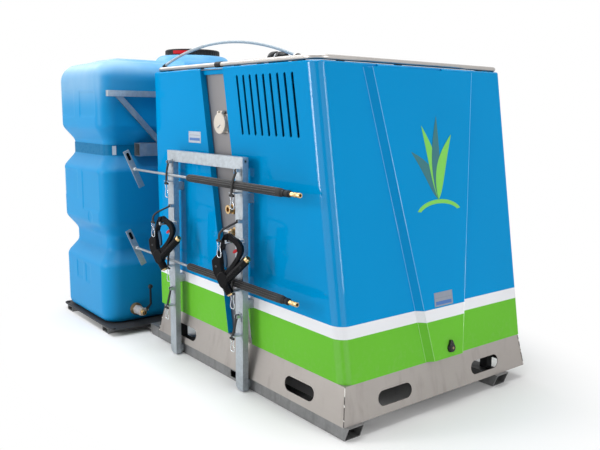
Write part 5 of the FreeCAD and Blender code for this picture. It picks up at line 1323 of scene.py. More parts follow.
    def circles(self, like: Sequence[Vector], sizes: Iterable[Pair]) -> list[list[Vector]]:
        """Circles about the middle, their points at the angles of an earlier ring's.

        Args:
            like: the earlier ring.
            sizes: the radius and height of each circle.

        Returns:
            The circles' points in millimetres.
        """
        m = self.middle
        angles = [math.atan2(p.y - m.y, p.x - m.x) for p in like]
        return [[Vector((m.x + radius * math.cos(a), m.y + radius * math.sin(a), z)) for a in angles]
                for radius, z in sizes]

    def side_rings(self, drop: float, fine: bool) -> list[list[Vector]]:
        """Rings up one side of the wall, from the foot to the shoulder.

        Args:
            drop: how far this side lies within the outer one.
            fine: True for close rows with the panels pressed in.

        Returns:
            The rings.
        """
        rings = []
        for k in range(self.foot_rows + 1):
            a = math.radians(90.0 * k / self.foot_rows)
            level = self.bottom + drop + (self.foot - drop) * (1 - math.cos(a))
            rings.append(self.ring(level, drop + self.foot * (1 - math.sin(a))))
        start = self.bottom + self.foot + self.foot_gap
        end = self.top - self.shoulder
        count = self.fine_rows if fine else self.plain_rows
        for k in range(count + 1):
            level = start + (end - start) * k / count
            rings.append(self.ring(level, drop + self.inset(level), fine))
        for k in range(1, self.shoulder_rows + 1):
            a = math.radians(self.shoulder_turn * k / self.shoulder_rows)
            level = end + (self.shoulder - drop) * math.sin(a)
            rings.append(self.ring(level, drop + self.shoulder * (1 - math.cos(a))))
        return rings

    def shell(self) -> Shape:
        """The whole shell, outside and inside, with its open neck.

        Returns:
            The shape.
        """
        outer = self.side_rings(0.0, True)
        outer += self.over(outer[-1], self.dome_foot, 0.0, self.dome_rows)
        neck = [(self.neck + out, z + up) for z in self.threads for out, up in self.thread]
        rim = [(self.neck, self.neck_top), (self.neck_bore, self.neck_top)]
        outer += self.circles(outer[-1], [*self.dome, *neck, *rim])
        inner = self.side_rings(self.wall, False)
        inner += self.over(inner[-1], self.lining_foot, self.wall, self.lining_rows)
        inner += self.circles(inner[-1], self.lining)
        rows = outer + list(reversed(inner))
        return Shape().loft([[at(*p) for p in row] for row in rows])

    def cap(self) -> Shape:
        """The lid: a ribbed skirt, a stepped top and six low ribs on it.

        Returns:
            The shape.
        """
        low, high = self.skirt_rib_span

        def ribs(along: float, angle: float) -> float:
            """The change of radius at a place up the skirt and an angle round it."""
            depth = self.skirt_rib_depth * (0.5 + 0.5 * math.cos(self.skirt_ribs * angle))
            return -depth if low < along < high else 0.0

        base = at(self.middle.x, self.middle.y, self.lid_low)
        made = Shape().turned(base, UPWARD, self.lid, self.lid_sides, True, ribs)
        long, wide = self.top_rib_half
        for k in range(self.top_ribs):
            a = math.radians(360.0 * k / self.top_ribs + self.top_rib_turn)
            out = Vector((math.cos(a), math.sin(a), 0.0))
            across = Vector((-out.y, out.x, 0.0))
            centre = out * self.top_rib_out + UPWARD * self.top_rib_up
            corners = [base + (centre + out * (sx * long) + across * (sy * wide)) / MM_PER_M
                       for sx, sy in ((-1, -1), (1, -1), (1, 1), (-1, 1))]
            made.slab(corners, UPWARD * (self.top_rib_high / MM_PER_M))
        return made

    def tag(self) -> Shape:
        """The small blank tag on the belt.

        Returns:
            The shape.
        """
        (y0, y1), (z0, z1) = self.tag_y, self.tag_z
        corners = [at(self.tag_x, y, z) for y, z in ((y0, z0), (y1, z0), (y1, z1), (y0, z1))]
        return Shape().slab(corners, RIGHTWARD * (self.tag_thick / MM_PER_M))

    def build(self, shop: Workshop) -> None:
        """Make the tank's pieces and dress its stand.

        Args:
            shop: where the pieces go.
        """
        shop.add("tank_shell", self.shell(), Coat.TANK, "machine", "tank_plastic", ["water_tank"],
                 smooth=50.0)
        shop.add("lid_cap", self.cap(), Coat.BLACK, "lid", "black_plastic", ["tank_lid"])
        shop.dress(Coat.PALE_RED, "lid_lock_tab")
        shop.dress(Coat.BELT, "tank_belt")
        shop.dress(Coat.ZINC, "tank_bracket")
        shop.add("belt_tag", self.tag(), Coat.TAG, "machine", "belt_paint")
        shop.dress(Coat.DULL_ZINC, "platform_tubes")
        shop.dress(Coat.PLATFORM, "platform_plate")


@dataclass
class Lance:
    """A lance with its fluted grip, end collar, brass coupling and flat nozzle bar. Sizes in millimetres."""

    name: str
    z: float
    grip_x: float
    grip_length: float
    collar: float
    brass: float
    y: float = -62.0
    sides: int = 40
    radius: float = 18.0
    grip_end: Profile = ((0.0, 10.0), (0.0, 14.5), (2.0, 16.6), (6.0, 17.6), (14.0, 18.0), (22.0, 18.0),
                         (26.0, 18.0), (30.0, 18.0))
    end_length: float = 30.0
    grip_rows: int = 8
    flutes: int = 11
    flute_sides: int = 8
    flute_start: float = 22.0
    flute_ease: float = 8.0
    flute_depth: float = 3.0
    rib_out: float = 17.7
    rib_radius: float = 1.1
    brass_steps: Profile = ((0.0, 9.6), (0.16, 9.6), (0.2, 8.2), (0.34, 8.2), (0.38, 10.4), (0.52, 10.4),
                            (0.56, 8.4), (0.7, 8.4), (0.74, 10.4), (0.97, 10.4), (1.0, 9.6), (1.0, 6.1),
                            (0.0, 6.1))
    boss_x: float = -1712.0
    boss: Profile = ((0.0, 7.0), (0.0, 11.0), (10.0, 11.0), (12.0, 9.5), (24.0, 9.0), (26.0, 7.0),
                     (26.0, 6.6))
    bar_tilt: float = 24.0
    slot_x: float = -1700.2
    slot_up: float = 77.0
    slot_half: float = 14.0
    slot_round: float = 8.5
    slot_deep: float = 11.6
    slot_sides: int = 24

    def grip(self) -> Shape:
        """The rubber sleeve with long flutes between smooth ends.

        Returns:
            The shape.
        """
        length, end, rows = self.grip_length, self.end_length, self.grip_rows
        first, run = self.flute_start, self.flute_ease

        def flute(along: float, angle: float) -> float:
            """The change of radius at a place along the grip and an angle round it."""
            ease = clamped((along - first) / run) * clamped((length - end - along) / run)
            return -self.flute_depth * ease * max(0.0, math.cos(self.flutes * angle)) ** 0.7

        middle = [(end + (length - 2.0 * end) * k / rows, self.radius) for k in range(1, rows)]
        tail = [(length - along, radius) for along, radius in reversed(self.grip_end)]
        profile = [*self.grip_end, *middle, *tail]
        start = at(self.grip_x, self.y, self.z)
        return Shape().turned(start, RIGHTWARD, profile, self.flutes * self.flute_sides, False, flute)

    def ribs(self) -> Shape:
        """The ridges between the flutes, grey as painted highlight streaks.

        Returns:
            The shape.
        """
        made = Shape()
        ends = (self.grip_x + self.end_length, self.grip_x + self.grip_length - self.end_length)
        for k in range(self.flutes):
            a = 2.0 * math.pi * (k + 0.5) / self.flutes
            y, z = self.y + self.rib_out * math.cos(a), self.z + self.rib_out * math.sin(a)
            made.rod([at(x, y, z) for x in ends], self.rib_radius, 6)
        return made

    def end_collar(self) -> Shape:
        """The black collar at the grip's end, with one groove.

        Returns:
            The shape.
        """
        c = self.collar
        profile = [(0.0, 8.0), (0.0, 13.0), (2.0, 14.8), (c * 0.3, 14.8), (c * 0.3 + 1.0, 12.6),
                   (c * 0.42, 12.6), (c * 0.42 + 1.0, 14.8), (c * 0.8, 14.8), (c * 0.86, 12.0), (c, 11.2),
                   (c, 6.2)]
        start = at(self.grip_x + self.grip_length, self.y, self.z)
        return Shape().turned(start, RIGHTWARD, profile, self.sides)

    def liner(self) -> Shape:
        """The black liner in the slot near the upper end of the flat bar.

        Returns:
            The shape.
        """
        tilt = math.radians(self.bar_tilt)
        up = Vector((0.0, -math.sin(tilt), math.cos(tilt)))
        across = Vector((0.0, math.cos(tilt), math.sin(tilt)))
        middle = Vector((self.slot_x, self.y, self.z)) + up * self.slot_up
        ring = []
        for k in range(self.slot_sides):
            a = 2.0 * math.pi * k / self.slot_sides
            run = self.slot_half if math.cos(a) > 0 else -self.slot_half
            p = middle - up * (run + self.slot_round * math.cos(a)) + across * (self.slot_round * math.sin(a))
            ring.append(at(*p))
        return Shape().slab(ring, RIGHTWARD * (-self.slot_deep / MM_PER_M))

    def build(self, shop: Workshop) -> None:
        """Make the lance's finer pieces.

        Args:
            shop: where the pieces go.
        """
        body = "lance_" + self.name
        shop.dress(Coat.BAR, body + "_pipe")
        shop.add(body + "_sleeve", self.grip(), Coat.GRIP, body, "grip_rubber", [body + "_grip"])
        shop.add(body + "_collar", self.end_collar(), Coat.BLACK, body, "grip_rubber")
        start = at(self.grip_x + self.grip_length + self.collar, self.y, self.z)
        profile = [(self.brass * share, radius) for share, radius in self.brass_steps]
        brass = Shape().turned(start, RIGHTWARD, profile, self.sides, True)
        shop.add(body + "_brass", brass, Coat.BRASS, body, "brass", [body + "_coupling"])
        # The ridges' grey is a painted highlight.
        shop.add(body + "_ribs", self.ribs(), Coat.RIB_HIGHLIGHT, body, "grip_rubber")
        shop.add(body + "_liner", self.liner(), Coat.DEEP, body, "black_plastic")
        boss = Shape().turned(at(self.boss_x, self.y, self.z), RIGHTWARD, self.boss, 24)
        shop.add(body + "_boss", boss, Coat.WIRE, body, "polished_steel")


class StrapUse(Enum):
    """What a strap holds: its straight part over the tee in millimetres, and the lean of its bail."""

    LANCE = (53.0, 2.0)
    GUN = (42.0, 0.0)
    SPARE = (0.0, 2.0)


@dataclass
class Strap:
    """A rubber strap with its wire bail. Sizes in millimetres."""

    name: str
    use: StrapUse
    x: float
    anchor: float
    tee_z: float
    tee_y: float
    reach: float
    pin_y: float = -58.0
    half_width: float = 8.0
    half_thick: float = 2.9
    waist: float = 0.22
    section: Profile = ((-1.0, -0.6), (-0.8, -1.0), (0.8, -1.0), (1.0, -0.6), (1.0, 0.6), (0.8, 1.0),
                        (-0.8, 1.0), (-1.0, 0.6))
    eye: Profile = ((0.0, 3.3), (0.0, 7.2), (1.0, 7.9), (15.0, 7.9), (16.0, 7.2), (16.0, 3.3))
    tee_half: float = 17.0
    tee: Profile = ((0.0, 2.0), (0.6, 4.0), (2.5, 5.7), (11.0, 5.9), (12.0, 5.2), (22.0, 5.2), (23.0, 5.9),
                    (31.5, 5.7), (33.4, 4.0), (34.0, 2.0))
    bail_start: float = 2.0
    bail_neck: tuple[Triple, ...] = ((13.0, 0.0, 0.0), (14.0, 0.1, 6.0))
    bail_loop: tuple[Triple, ...] = ((7.0, 0.4, 0.34), (8.0, 0.5, 0.42), (17.0, 0.8, 0.76), (13.0, 1.0, 1.0))
    wire: float = 2.0

    def centre_line(self) -> list[Vector]:
        """The strap's line in its own plane, from the pin to the tee.

        Returns:
            Its points in millimetres, at x 0.
        """
        straight = self.use.value[0]
        pin, end = Vector((0.0, self.pin_y, self.anchor)), Vector((0.0, self.tee_y, self.tee_z))
        bend = [Vector((0.0, self.tee_y, self.tee_z + straight))] if straight else []
        return rounded([pin, *bend, end], 3)

    def band(self) -> Shape:
        """The strap: an eye, a waisted band and a tee with rounded ends.

        Returns:
            The shape.
        """
        line = self.centre_line()
        total = len(line) - 1
        rings = []
        for k, point in enumerate(line):
            ahead = line[min(k + 1, total)] - line[max(k - 1, 0)]
            across = Vector((0.0, -ahead.z, ahead.y)).normalized()
            half = self.half_width * (1.0 - self.waist * math.sin(math.pi * k / total))
            ring = []
            for u, v in self.section:
                spot = point + across * (v * self.half_thick)
                ring.append(at(self.x + u * half, spot.y, spot.z))
            rings.append(ring)
        made = Shape().loft(rings)
        made.turned(at(self.x - self.half_width, self.pin_y, self.anchor), RIGHTWARD, self.eye, 24, True)
        made.turned(at(self.x - self.tee_half, self.tee_y, self.tee_z), RIGHTWARD, self.tee, 20)
        return made

    def bail(self) -> Shape:
        """The wire loop that hangs from the tee: pinched, then wide.

        Returns:
            The shape.
        """
        lean = self.use.value[1]
        neck = [(x, out * lean, -down) for x, out, down in self.bail_neck]
        loop = [(x, out * lean, -self.reach * share) for x, out, share in self.bail_loop]
        path = neck + loop + [(-x, y, w) for x, y, w in reversed(neck + loop)]
        top = self.tee_z - self.bail_start
        points = rounded([at(self.x + x, self.tee_y + y, top + w) for x, y, w in path], 3)
        return Shape().rod(points, self.wire, 10)

    def build(self, shop: Workshop) -> None:
        """Make the strap's two pieces.

        Args:
            shop: where the pieces go.
        """
        body = shop.body_of(self.name)
        shop.add(self.name + "_band", self.band(), Coat.STRAP, body, "strap_rubber", [self.name])
        shop.add(self.name + "_bail", self.bail(), Coat.WIRE, body, "polished_steel")


@dataclass(frozen=True)
class Blade:
    """One pointed blade of the plant motif, bowed to one side. Sizes in millimetres."""

    tip: Pair
    bow: float
    width: float
    coat: Coat
    foot: Pair = (640.0, 850.0)
    count: int = 14
    end_half: float = 0.4

    def outline(self) -> list[Pair]:
        """The blade's outline.

        Returns:
            Its (y, z) pairs.
        """
        foot, along = Vector(self.foot), Vector(self.tip) - Vector(self.foot)
        side = Vector((-along.y, along.x)).normalized()
        left, right = [], []
        for k in range(self.count + 1):
            s = k / self.count
            mid = foot + along * s + side * (self.bow * math.sin(math.pi * s))
            half = self.end_half
            if 0 < k < self.count:
                half = self.width / 2 * math.sin(math.pi * s ** 0.8) ** 0.9
            left.append(tuple(mid + side * half))
            right.append(tuple(mid - side * half))
        return left + right[::-1]


@dataclass
class Hatch:
    """The raked hatch door with its knob, plate and plant motif. Sizes in millimetres."""

    low_x: float = -27.0
    rake: float = 215.0
    height: float = 1275.0
    base: float = 155.0
    proud: float = 28.0
    middle_y: float = 623.0
    bend_levels: Pair = (157.0, 1412.0)
    bend_halves: Pair = (94.0, 318.5)
    bends: Profile = ((0.0, -0.6), (28.0, -26.8))
    bend_radius: float = 1.5
    film_gap: float = 0.15
    film_step: float = 0.4
    film_thick: float = 0.35
    knob_back: float = 23.6
    boss: Profile = ((-8.0, 6.9), (0.0, 6.9), (0.0, 19.5), (1.5, 21.0), (6.0, 21.0), (8.0, 20.0),
                     (15.0, 18.0), (17.5, 15.0), (17.5, 7.0), (16.5, 6.0))
    key_cap: Profile = ((16.2, 0.3), (16.2, 5.8), (18.4, 5.8), (18.9, 5.2), (18.9, 0.3))
    lug: Profile = ((-17.0, 10.0), (-11.0, 22.0), (-4.5, 35.0), (4.5, 35.0), (11.0, 22.0), (17.0, 10.0))
    lug_start: float = 2.0
    lug_thick: float = 12.5
    ground_middle: float = 640.0
    ground_steps: int = 20
    ground_outer: Quad = (150.0, 70.0, 780.0, 20.0)
    ground_inner: Quad = (132.0, 54.0, 778.0, 26.0)
    blades: tuple[Blade, ...] = (
        Blade((490.0, 1060.0), -26.0, 58.0, Coat.STEM), Blade((566.0, 1170.0), -18.0, 54.0, Coat.LEAF),
        Blade((666.0, 1210.0), 10.0, 52.0, Coat.STEM), Blade((756.0, 1130.0), 22.0, 56.0, Coat.LEAF))

    @property
    def slope(self) -> float:
        """The door's lean from upright, in radians."""
        return math.atan2(self.rake, self.height)

    @property
    def out(self) -> Vector:
        """The direction straight out of the door."""
        return Vector((math.cos(self.slope), 0.0, math.sin(self.slope)))

    @property
    def up(self) -> Vector:
        """The direction up along the door."""
        return Vector((-math.sin(self.slope), 0.0, math.cos(self.slope)))

    def on_face(self, y: float, z: float, lift: float) -> Vector:
        """A point over the door's outer face.

        Args:
            y: its place across the door.
            z: its height, before the lift.
            lift: how far it lies off the face.

        Returns:
            The point in metres.
        """
        along = (z - self.base) / math.cos(self.slope)
        return at(*(Vector((self.low_x, y, self.base)) + self.up * along + self.out * (self.proud + lift)))

    def film(self, outline: Sequence[Pair], layer: int = 0) -> Shape:
        """A thin film on the door.

        Args:
            outline: its (y, z) pairs.
            layer: how many films lie under it.

        Returns:
            The shape.
        """
        low = [self.on_face(y, z, self.film_gap + self.film_step * layer) for y, z in outline]
        return Shape().slab(low, self.out * (self.film_thick / MM_PER_M))

    def arch(self, wide: float, tall: float, level: float, start: float) -> list[Pair]:
        """The upper part of an ellipse about the motif's middle.

        Args:
            wide: half the ellipse's width.
            tall: half its height.
            level: the height of its centre.
            start: the angle at which the part starts and, from the other side, ends.

        Returns:
            Its (y, z) pairs.
        """
        turns = [math.radians(start + (180.0 - 2.0 * start) * k / self.ground_steps)
                 for k in range(self.ground_steps + 1)]
        return [(self.ground_middle + wide * math.cos(a), level + tall * math.sin(a)) for a in turns]

    def knob(self, shop: Workshop) -> None:
        """The knob: a stepped boss, the cap over its keyhole and one lug.

        Args:
            shop: where the pieces go.
        """
        low, high = (Vector(corner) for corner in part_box("hatch_latch"))
        root = (low + high) / 2.0 + self.out * ((high.x - low.x) / 2.0 - self.knob_back / MM_PER_M)
        boss = Shape().turned(root, self.out, self.boss, 40)
        shop.add("latch_boss", boss, Coat.KNOB, "latch", "black_plastic", ["hatch_latch"])
        cap = Shape().turned(root, self.out, self.key_cap, 24)
        shop.add("latch_key_cap", cap, Coat.BRONZE, "latch", "polished_steel")
        ring = [root + (self.out * self.lug_start + Vector((0.0, across, 0.0)) + self.up * along) / MM_PER_M
                for across, along in self.lug]
        lug = Shape().slab(ring, self.out * (self.lug_thick / MM_PER_M))
        shop.add("latch_lug", lug, Coat.KNOB, "latch", "black_plastic", bevel=1.6)

    def edges(self) -> Shape:
        """The rounded bends of the raised door, which catch the light, in a lighter coat that is a painted
        highlight.

        Returns:
            The shape.
        """
        made = Shape()
        ends = list(zip(self.bend_halves, self.bend_levels))
        for side in (-1.0, 1.0):
            for more, lift in self.bends:
                path = [self.on_face(self.middle_y + side * (half + more), level, lift)
                        for half, level in ends]
                made.rod(path, self.bend_radius, 8)
        return made

    def build(self, shop: Workshop) -> None:
        """Dress the door and make its bends, its knob and the motif.

        Args:
            shop: where the pieces go.
        """
        shop.dress(Coat.HOOD, "hatch_door")
        # The bends' lighter coat is a painted highlight.
        shop.add("door_bends", self.edges(), Coat.EDGE, "hatch", "hood_paint")
        shop.dress(Coat.DOOR_PLATE, "door_plate")
        self.knob(shop)
        shop.dress(Coat.HOOD, "hatch_hinge")
        for layer, blade in enumerate(self.blades):
            film = self.film(blade.outline(), layer)
            shop.add("motif_blade_%d" % (layer + 1), film, blade.coat, "hatch", "hood_paint")
        ground = self.arch(*self.ground_outer) + self.arch(*self.ground_inner)[::-1]
        shop.add("motif_ground", self.film(ground), Coat.LEAF, "hatch", "hood_paint")


@dataclass
class Roof:
    """The rail, the stiff hose over the roof and the roof coupling. Sizes in millimetres."""

    start: Triple = (-1561.0, 60.0, 1459.0)
    end: Triple = (-455.0, 95.0, 1459.0)
    rise: float = 88.0
    ribbed: Pair = (0.03, 0.36)
    rib_steps: int = 60
    rib_pitch: float = 6.0
    rib_ring: float = 6.0
    rib_wire: float = 1.3
    end_span: Pair = (0.985, 1.0)
    nut_back: float = 4.0
    nut: Profile = ((0.0, 6.6), (0.0, 11.5), (2.0, 12.5), (9.0, 12.5), (10.0, 11.0), (14.0, 11.0),
                    (14.0, 6.6))
    sleeve_start: float = 11.0
    sleeve: Profile = ((0.0, 8.0), (0.0, 12.5), (4.0, 13.5), (16.0, 13.5), (18.0, 12.0), (24.0, 12.0),
                       (26.0, 13.5), (40.0, 13.5), (44.0, 11.0), (44.0, 8.0))
    coupling: Triple = (-728.0, 165.0, 1462.0)
    coupling_sides: int = 36
    cup: Profile = ((0.0, 2.0), (0.5, 14.0), (4.0, 23.0), (11.0, 29.0), (20.0, 32.0), (46.0, 32.0),
                    (50.0, 29.0), (53.0, 24.0))
    plug: Profile = ((63.0, 20.0), (64.0, 27.0), (68.0, 29.0), (86.0, 29.0), (92.0, 24.0), (112.0, 21.0),
                     (116.0, 18.0), (118.0, 6.0))
    band: Profile = ((52.0, 10.0), (52.0, 24.5), (53.0, 25.5), (63.0, 25.5), (64.0, 24.5), (64.0, 10.0))

    def arc(self, low: float, high: float, count: int) -> list[Vector]:
        """Points of the hose's line.

        Args:
            low: the share of the line at which they start.
            high: the share at which they end.
            count: how many steps they take.

        Returns:
            The points in metres.
        """
        a, b = Vector(self.start), Vector(self.end)
        chord = (b - a).length
        radius = (chord * chord / 4 + self.rise ** 2) / (2 * self.rise)
        half = math.asin(chord / 2 / radius)
        points = []
        for k in range(count + 1):
            turn = -half + 2 * half * (low + (high - low) * k / count)
            flat = a.lerp(b, 0.5 + math.sin(turn) / (2 * math.sin(half)))
            points.append(at(flat.x, flat.y, flat.z + self.rise - radius * (1 - math.cos(turn))))
        return points

    def hose_end(self, shop: Workshop) -> None:
        """The nut and the sleeve on the hose's right end.

        Args:
            shop: where the pieces go.
        """
        line = self.arc(*self.end_span, 4)
        end, out = line[-1], (line[-1] - line[0]).normalized()
        nut = Shape().turned(end - out * (self.nut_back / MM_PER_M), out, self.nut, 6, True)
        shop.add("hose_end_nut", nut, Coat.CHROME, "machine", "hose_grey")
        sleeve = Shape().turned(end + out * (self.sleeve_start / MM_PER_M), out, self.sleeve, 28)
        shop.add("hose_end_body", sleeve, Coat.BLACK, "machine", "black_plastic")

    def build(self, shop: Workshop) -> None:
        """Dress the roof and make the hose's ribs and end and the coupling.

        Args:
            shop: where the pieces go.
        """
        shop.dress(Coat.RAIL, "top_rail")
        shop.dress(Coat.BLACK, "rail_fittings")
        shop.dress(Coat.HOSE, "arch_hose")
        line = self.arc(*self.ribbed, self.rib_steps)
        ribs = Rings(Coat.HOSE_RIB).mesh("arch_hose_ribs", line, self.rib_pitch, self.rib_ring, self.rib_wire)
        shop.add("arch_hose_ribs", ribs, Coat.HOSE_RIB, "machine", "hose_grey")
        self.hose_end(shop)
        place = at(*self.coupling)
        case = Shape().turned(place, RIGHTWARD, self.cup, self.coupling_sides)
        case.turned(place, RIGHTWARD, self.plug, self.coupling_sides)
        shop.add("roof_coupling_case", case, Coat.BLACK, "machine", "black_plastic")
        band = Shape().turned(place, RIGHTWARD, self.band, self.coupling_sides, True)
        shop.add("roof_coupling_band", band, Coat.WIRE, "machine", "polished_steel")


@dataclass
class Frame:
    """The pieces that keep their CAD shapes, the flap's bar and the skirt's welds. Sizes in millimetres."""

    coats: tuple[tuple[Coat, tuple[str, ...]], ...] = (
        (Coat.STAINLESS, ("base_skirt",)),
        (Coat.DULL_ZINC, ("skid_channels",)),
        (Coat.DECK, ("deck_frame",)),
        (Coat.HOOD, ("hood_front", "hood_rear", "hood_bridge")),
        (Coat.PANEL, ("service_panel",)),
        (Coat.FRONT_PLATE, ("rating_plate",)),
        (Coat.ZINC, ("rack_posts", "rack_top_bar", "clamp_hardware")),
        (Coat.CREAM, ("socket_body", "socket_flap")),
        (Coat.BRASS, ("water_couplings",)),
        (Coat.WIRE, ("service_valve_lever",)),
        (Coat.CHROME, ("valve_body",)),
        (Coat.BLACK, ("valve_lever", "battery_pack")),
        (Coat.MACHINE, ("electric_motor", "control_cabinet")),
        (Coat.ALLOY, ("plunger_pump",)),
        (Coat.IRON, ("drive_coupling",)),
        (Coat.RAIL, ("boiler",)),
    )
    bar_ends: Profile = ((-14.0, -26.0), (8.0, -12.0))
    bar_radius: float = 2.6
    skirt_long: float = 1565.0
    skirt_wide: float = 1200.0
    skirt_high: float = 154.0
    skirt_lean: float = 27.0
    weld_low: float = 2.0
    weld_inset: float = 0.4
    weld_steps: int = 20
    weld_pitch: float = 2.4
    weld_ring: float = 0.8
    weld_wire: float = 1.5

    def flap_bar(self, shop: Workshop) -> None:
        """The slanted grip bar on the socket's flap.

        Args:
            shop: where the piece goes.
        """
        low, high = (Vector(corner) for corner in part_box("socket_flap"))
        middle = (low + high) / 2.0
        ends = [Vector((middle.x + x / MM_PER_M, low.y, middle.z + z / MM_PER_M)) for x, z in self.bar_ends]
        bar = Shape().rod(ends, self.bar_radius, 10)
        shop.add("flap_grip_bar", bar, Coat.BAR, "flap", "cream_plastic", bevel=0.4)

    def welds(self, shop: Workshop) -> None:
        """The bead up each corner of the skirt.

        Args:
            shop: where the pieces go.
        """
        corners = ((0.0, 0.0), (1.0, 0.0), (1.0, 1.0), (0.0, 1.0))
        for number, (left, back) in enumerate(corners, 1):
            x, y = -self.skirt_long * left, self.skirt_wide * back
            in_x, in_y = 2.0 * left - 1.0, 1.0 - 2.0 * back
            low = at(x + in_x * self.weld_inset, y + in_y * self.weld_inset, self.weld_low)
            top = at(x + in_x * self.skirt_lean, y + in_y * self.skirt_lean, self.skirt_high)
            line = [low.lerp(top, k / self.weld_steps) for k in range(self.weld_steps + 1)]
            name = "corner_weld_%d" % number
            bead = Rings(Coat.WELD).mesh(name, line, self.weld_pitch, self.weld_ring, self.weld_wire)
            shop.add(name, bead, Coat.WELD, "machine", "stainless")

    def build(self, shop: Workshop) -> None:
        """Dress the pieces, then add the bar and the welds.

        Args:
            shop: where the pieces go.
        """
        for coat, nodes in self.coats:
            shop.dress(coat, *nodes)
        self.flap_bar(shop)
        self.welds(shop)


@dataclass
class Outlet:
    """The tank's outlet: a bronze flange, plated hexagons and a brass tail. Sizes in millimetres."""

    start: Triple = (-1865.0, -2.0, 58.0)
    flange: Profile = ((-13.0, 10.0), (-13.0, 14.0), (0.0, 14.0), (0.0, 35.0), (1.0, 36.0), (5.0, 36.0),
                       (6.0, 34.4), (8.0, 34.4), (9.0, 36.0), (15.0, 36.0), (16.0, 35.0), (16.0, 10.0))
    nut: Profile = ((0.0, 10.0), (0.0, 25.0), (2.0, 27.5), (20.0, 27.5), (22.0, 25.5), (22.0, 10.0))
    collar: Profile = ((0.0, 10.0), (0.0, 23.0), (1.5, 24.5), (12.0, 24.5), (14.0, 22.5), (14.0, 10.0))
    tail: Profile = ((0.0, 10.0), (0.0, 14.0), (4.0, 14.0), (4.6, 13.2), (6.0, 13.2), (6.6, 14.0),
                     (10.0, 14.0), (10.6, 13.2), (12.0, 13.2), (12.6, 14.0), (21.0, 14.0), (22.0, 13.2),
                     (22.0, 10.0))

    def build(self, shop: Workshop) -> None:
        """Turn the outlet's pieces in a row along its pipe.

        Args:
            shop: where the pieces go.
        """
        x, y, z = self.start
        rows = (("outlet_flange", 0.0, self.flange, 48, Coat.BRONZE, ["outlet_fittings"]),
                ("outlet_nut", 16.0, self.nut, 6, Coat.CHROME, ()),
                ("outlet_collar", 84.0, self.collar, 6, Coat.CHROME, ()),
                ("outlet_tail", 98.0, self.tail, 36, Coat.BRASS, ()))
        for name, along, profile, steps, coat, stands_for in rows:
            shape = Shape().turned(at(x + along, y, z), RIGHTWARD, profile, steps, True)
            shop.add(name, shape, coat, "machine", "brass", stands_for)


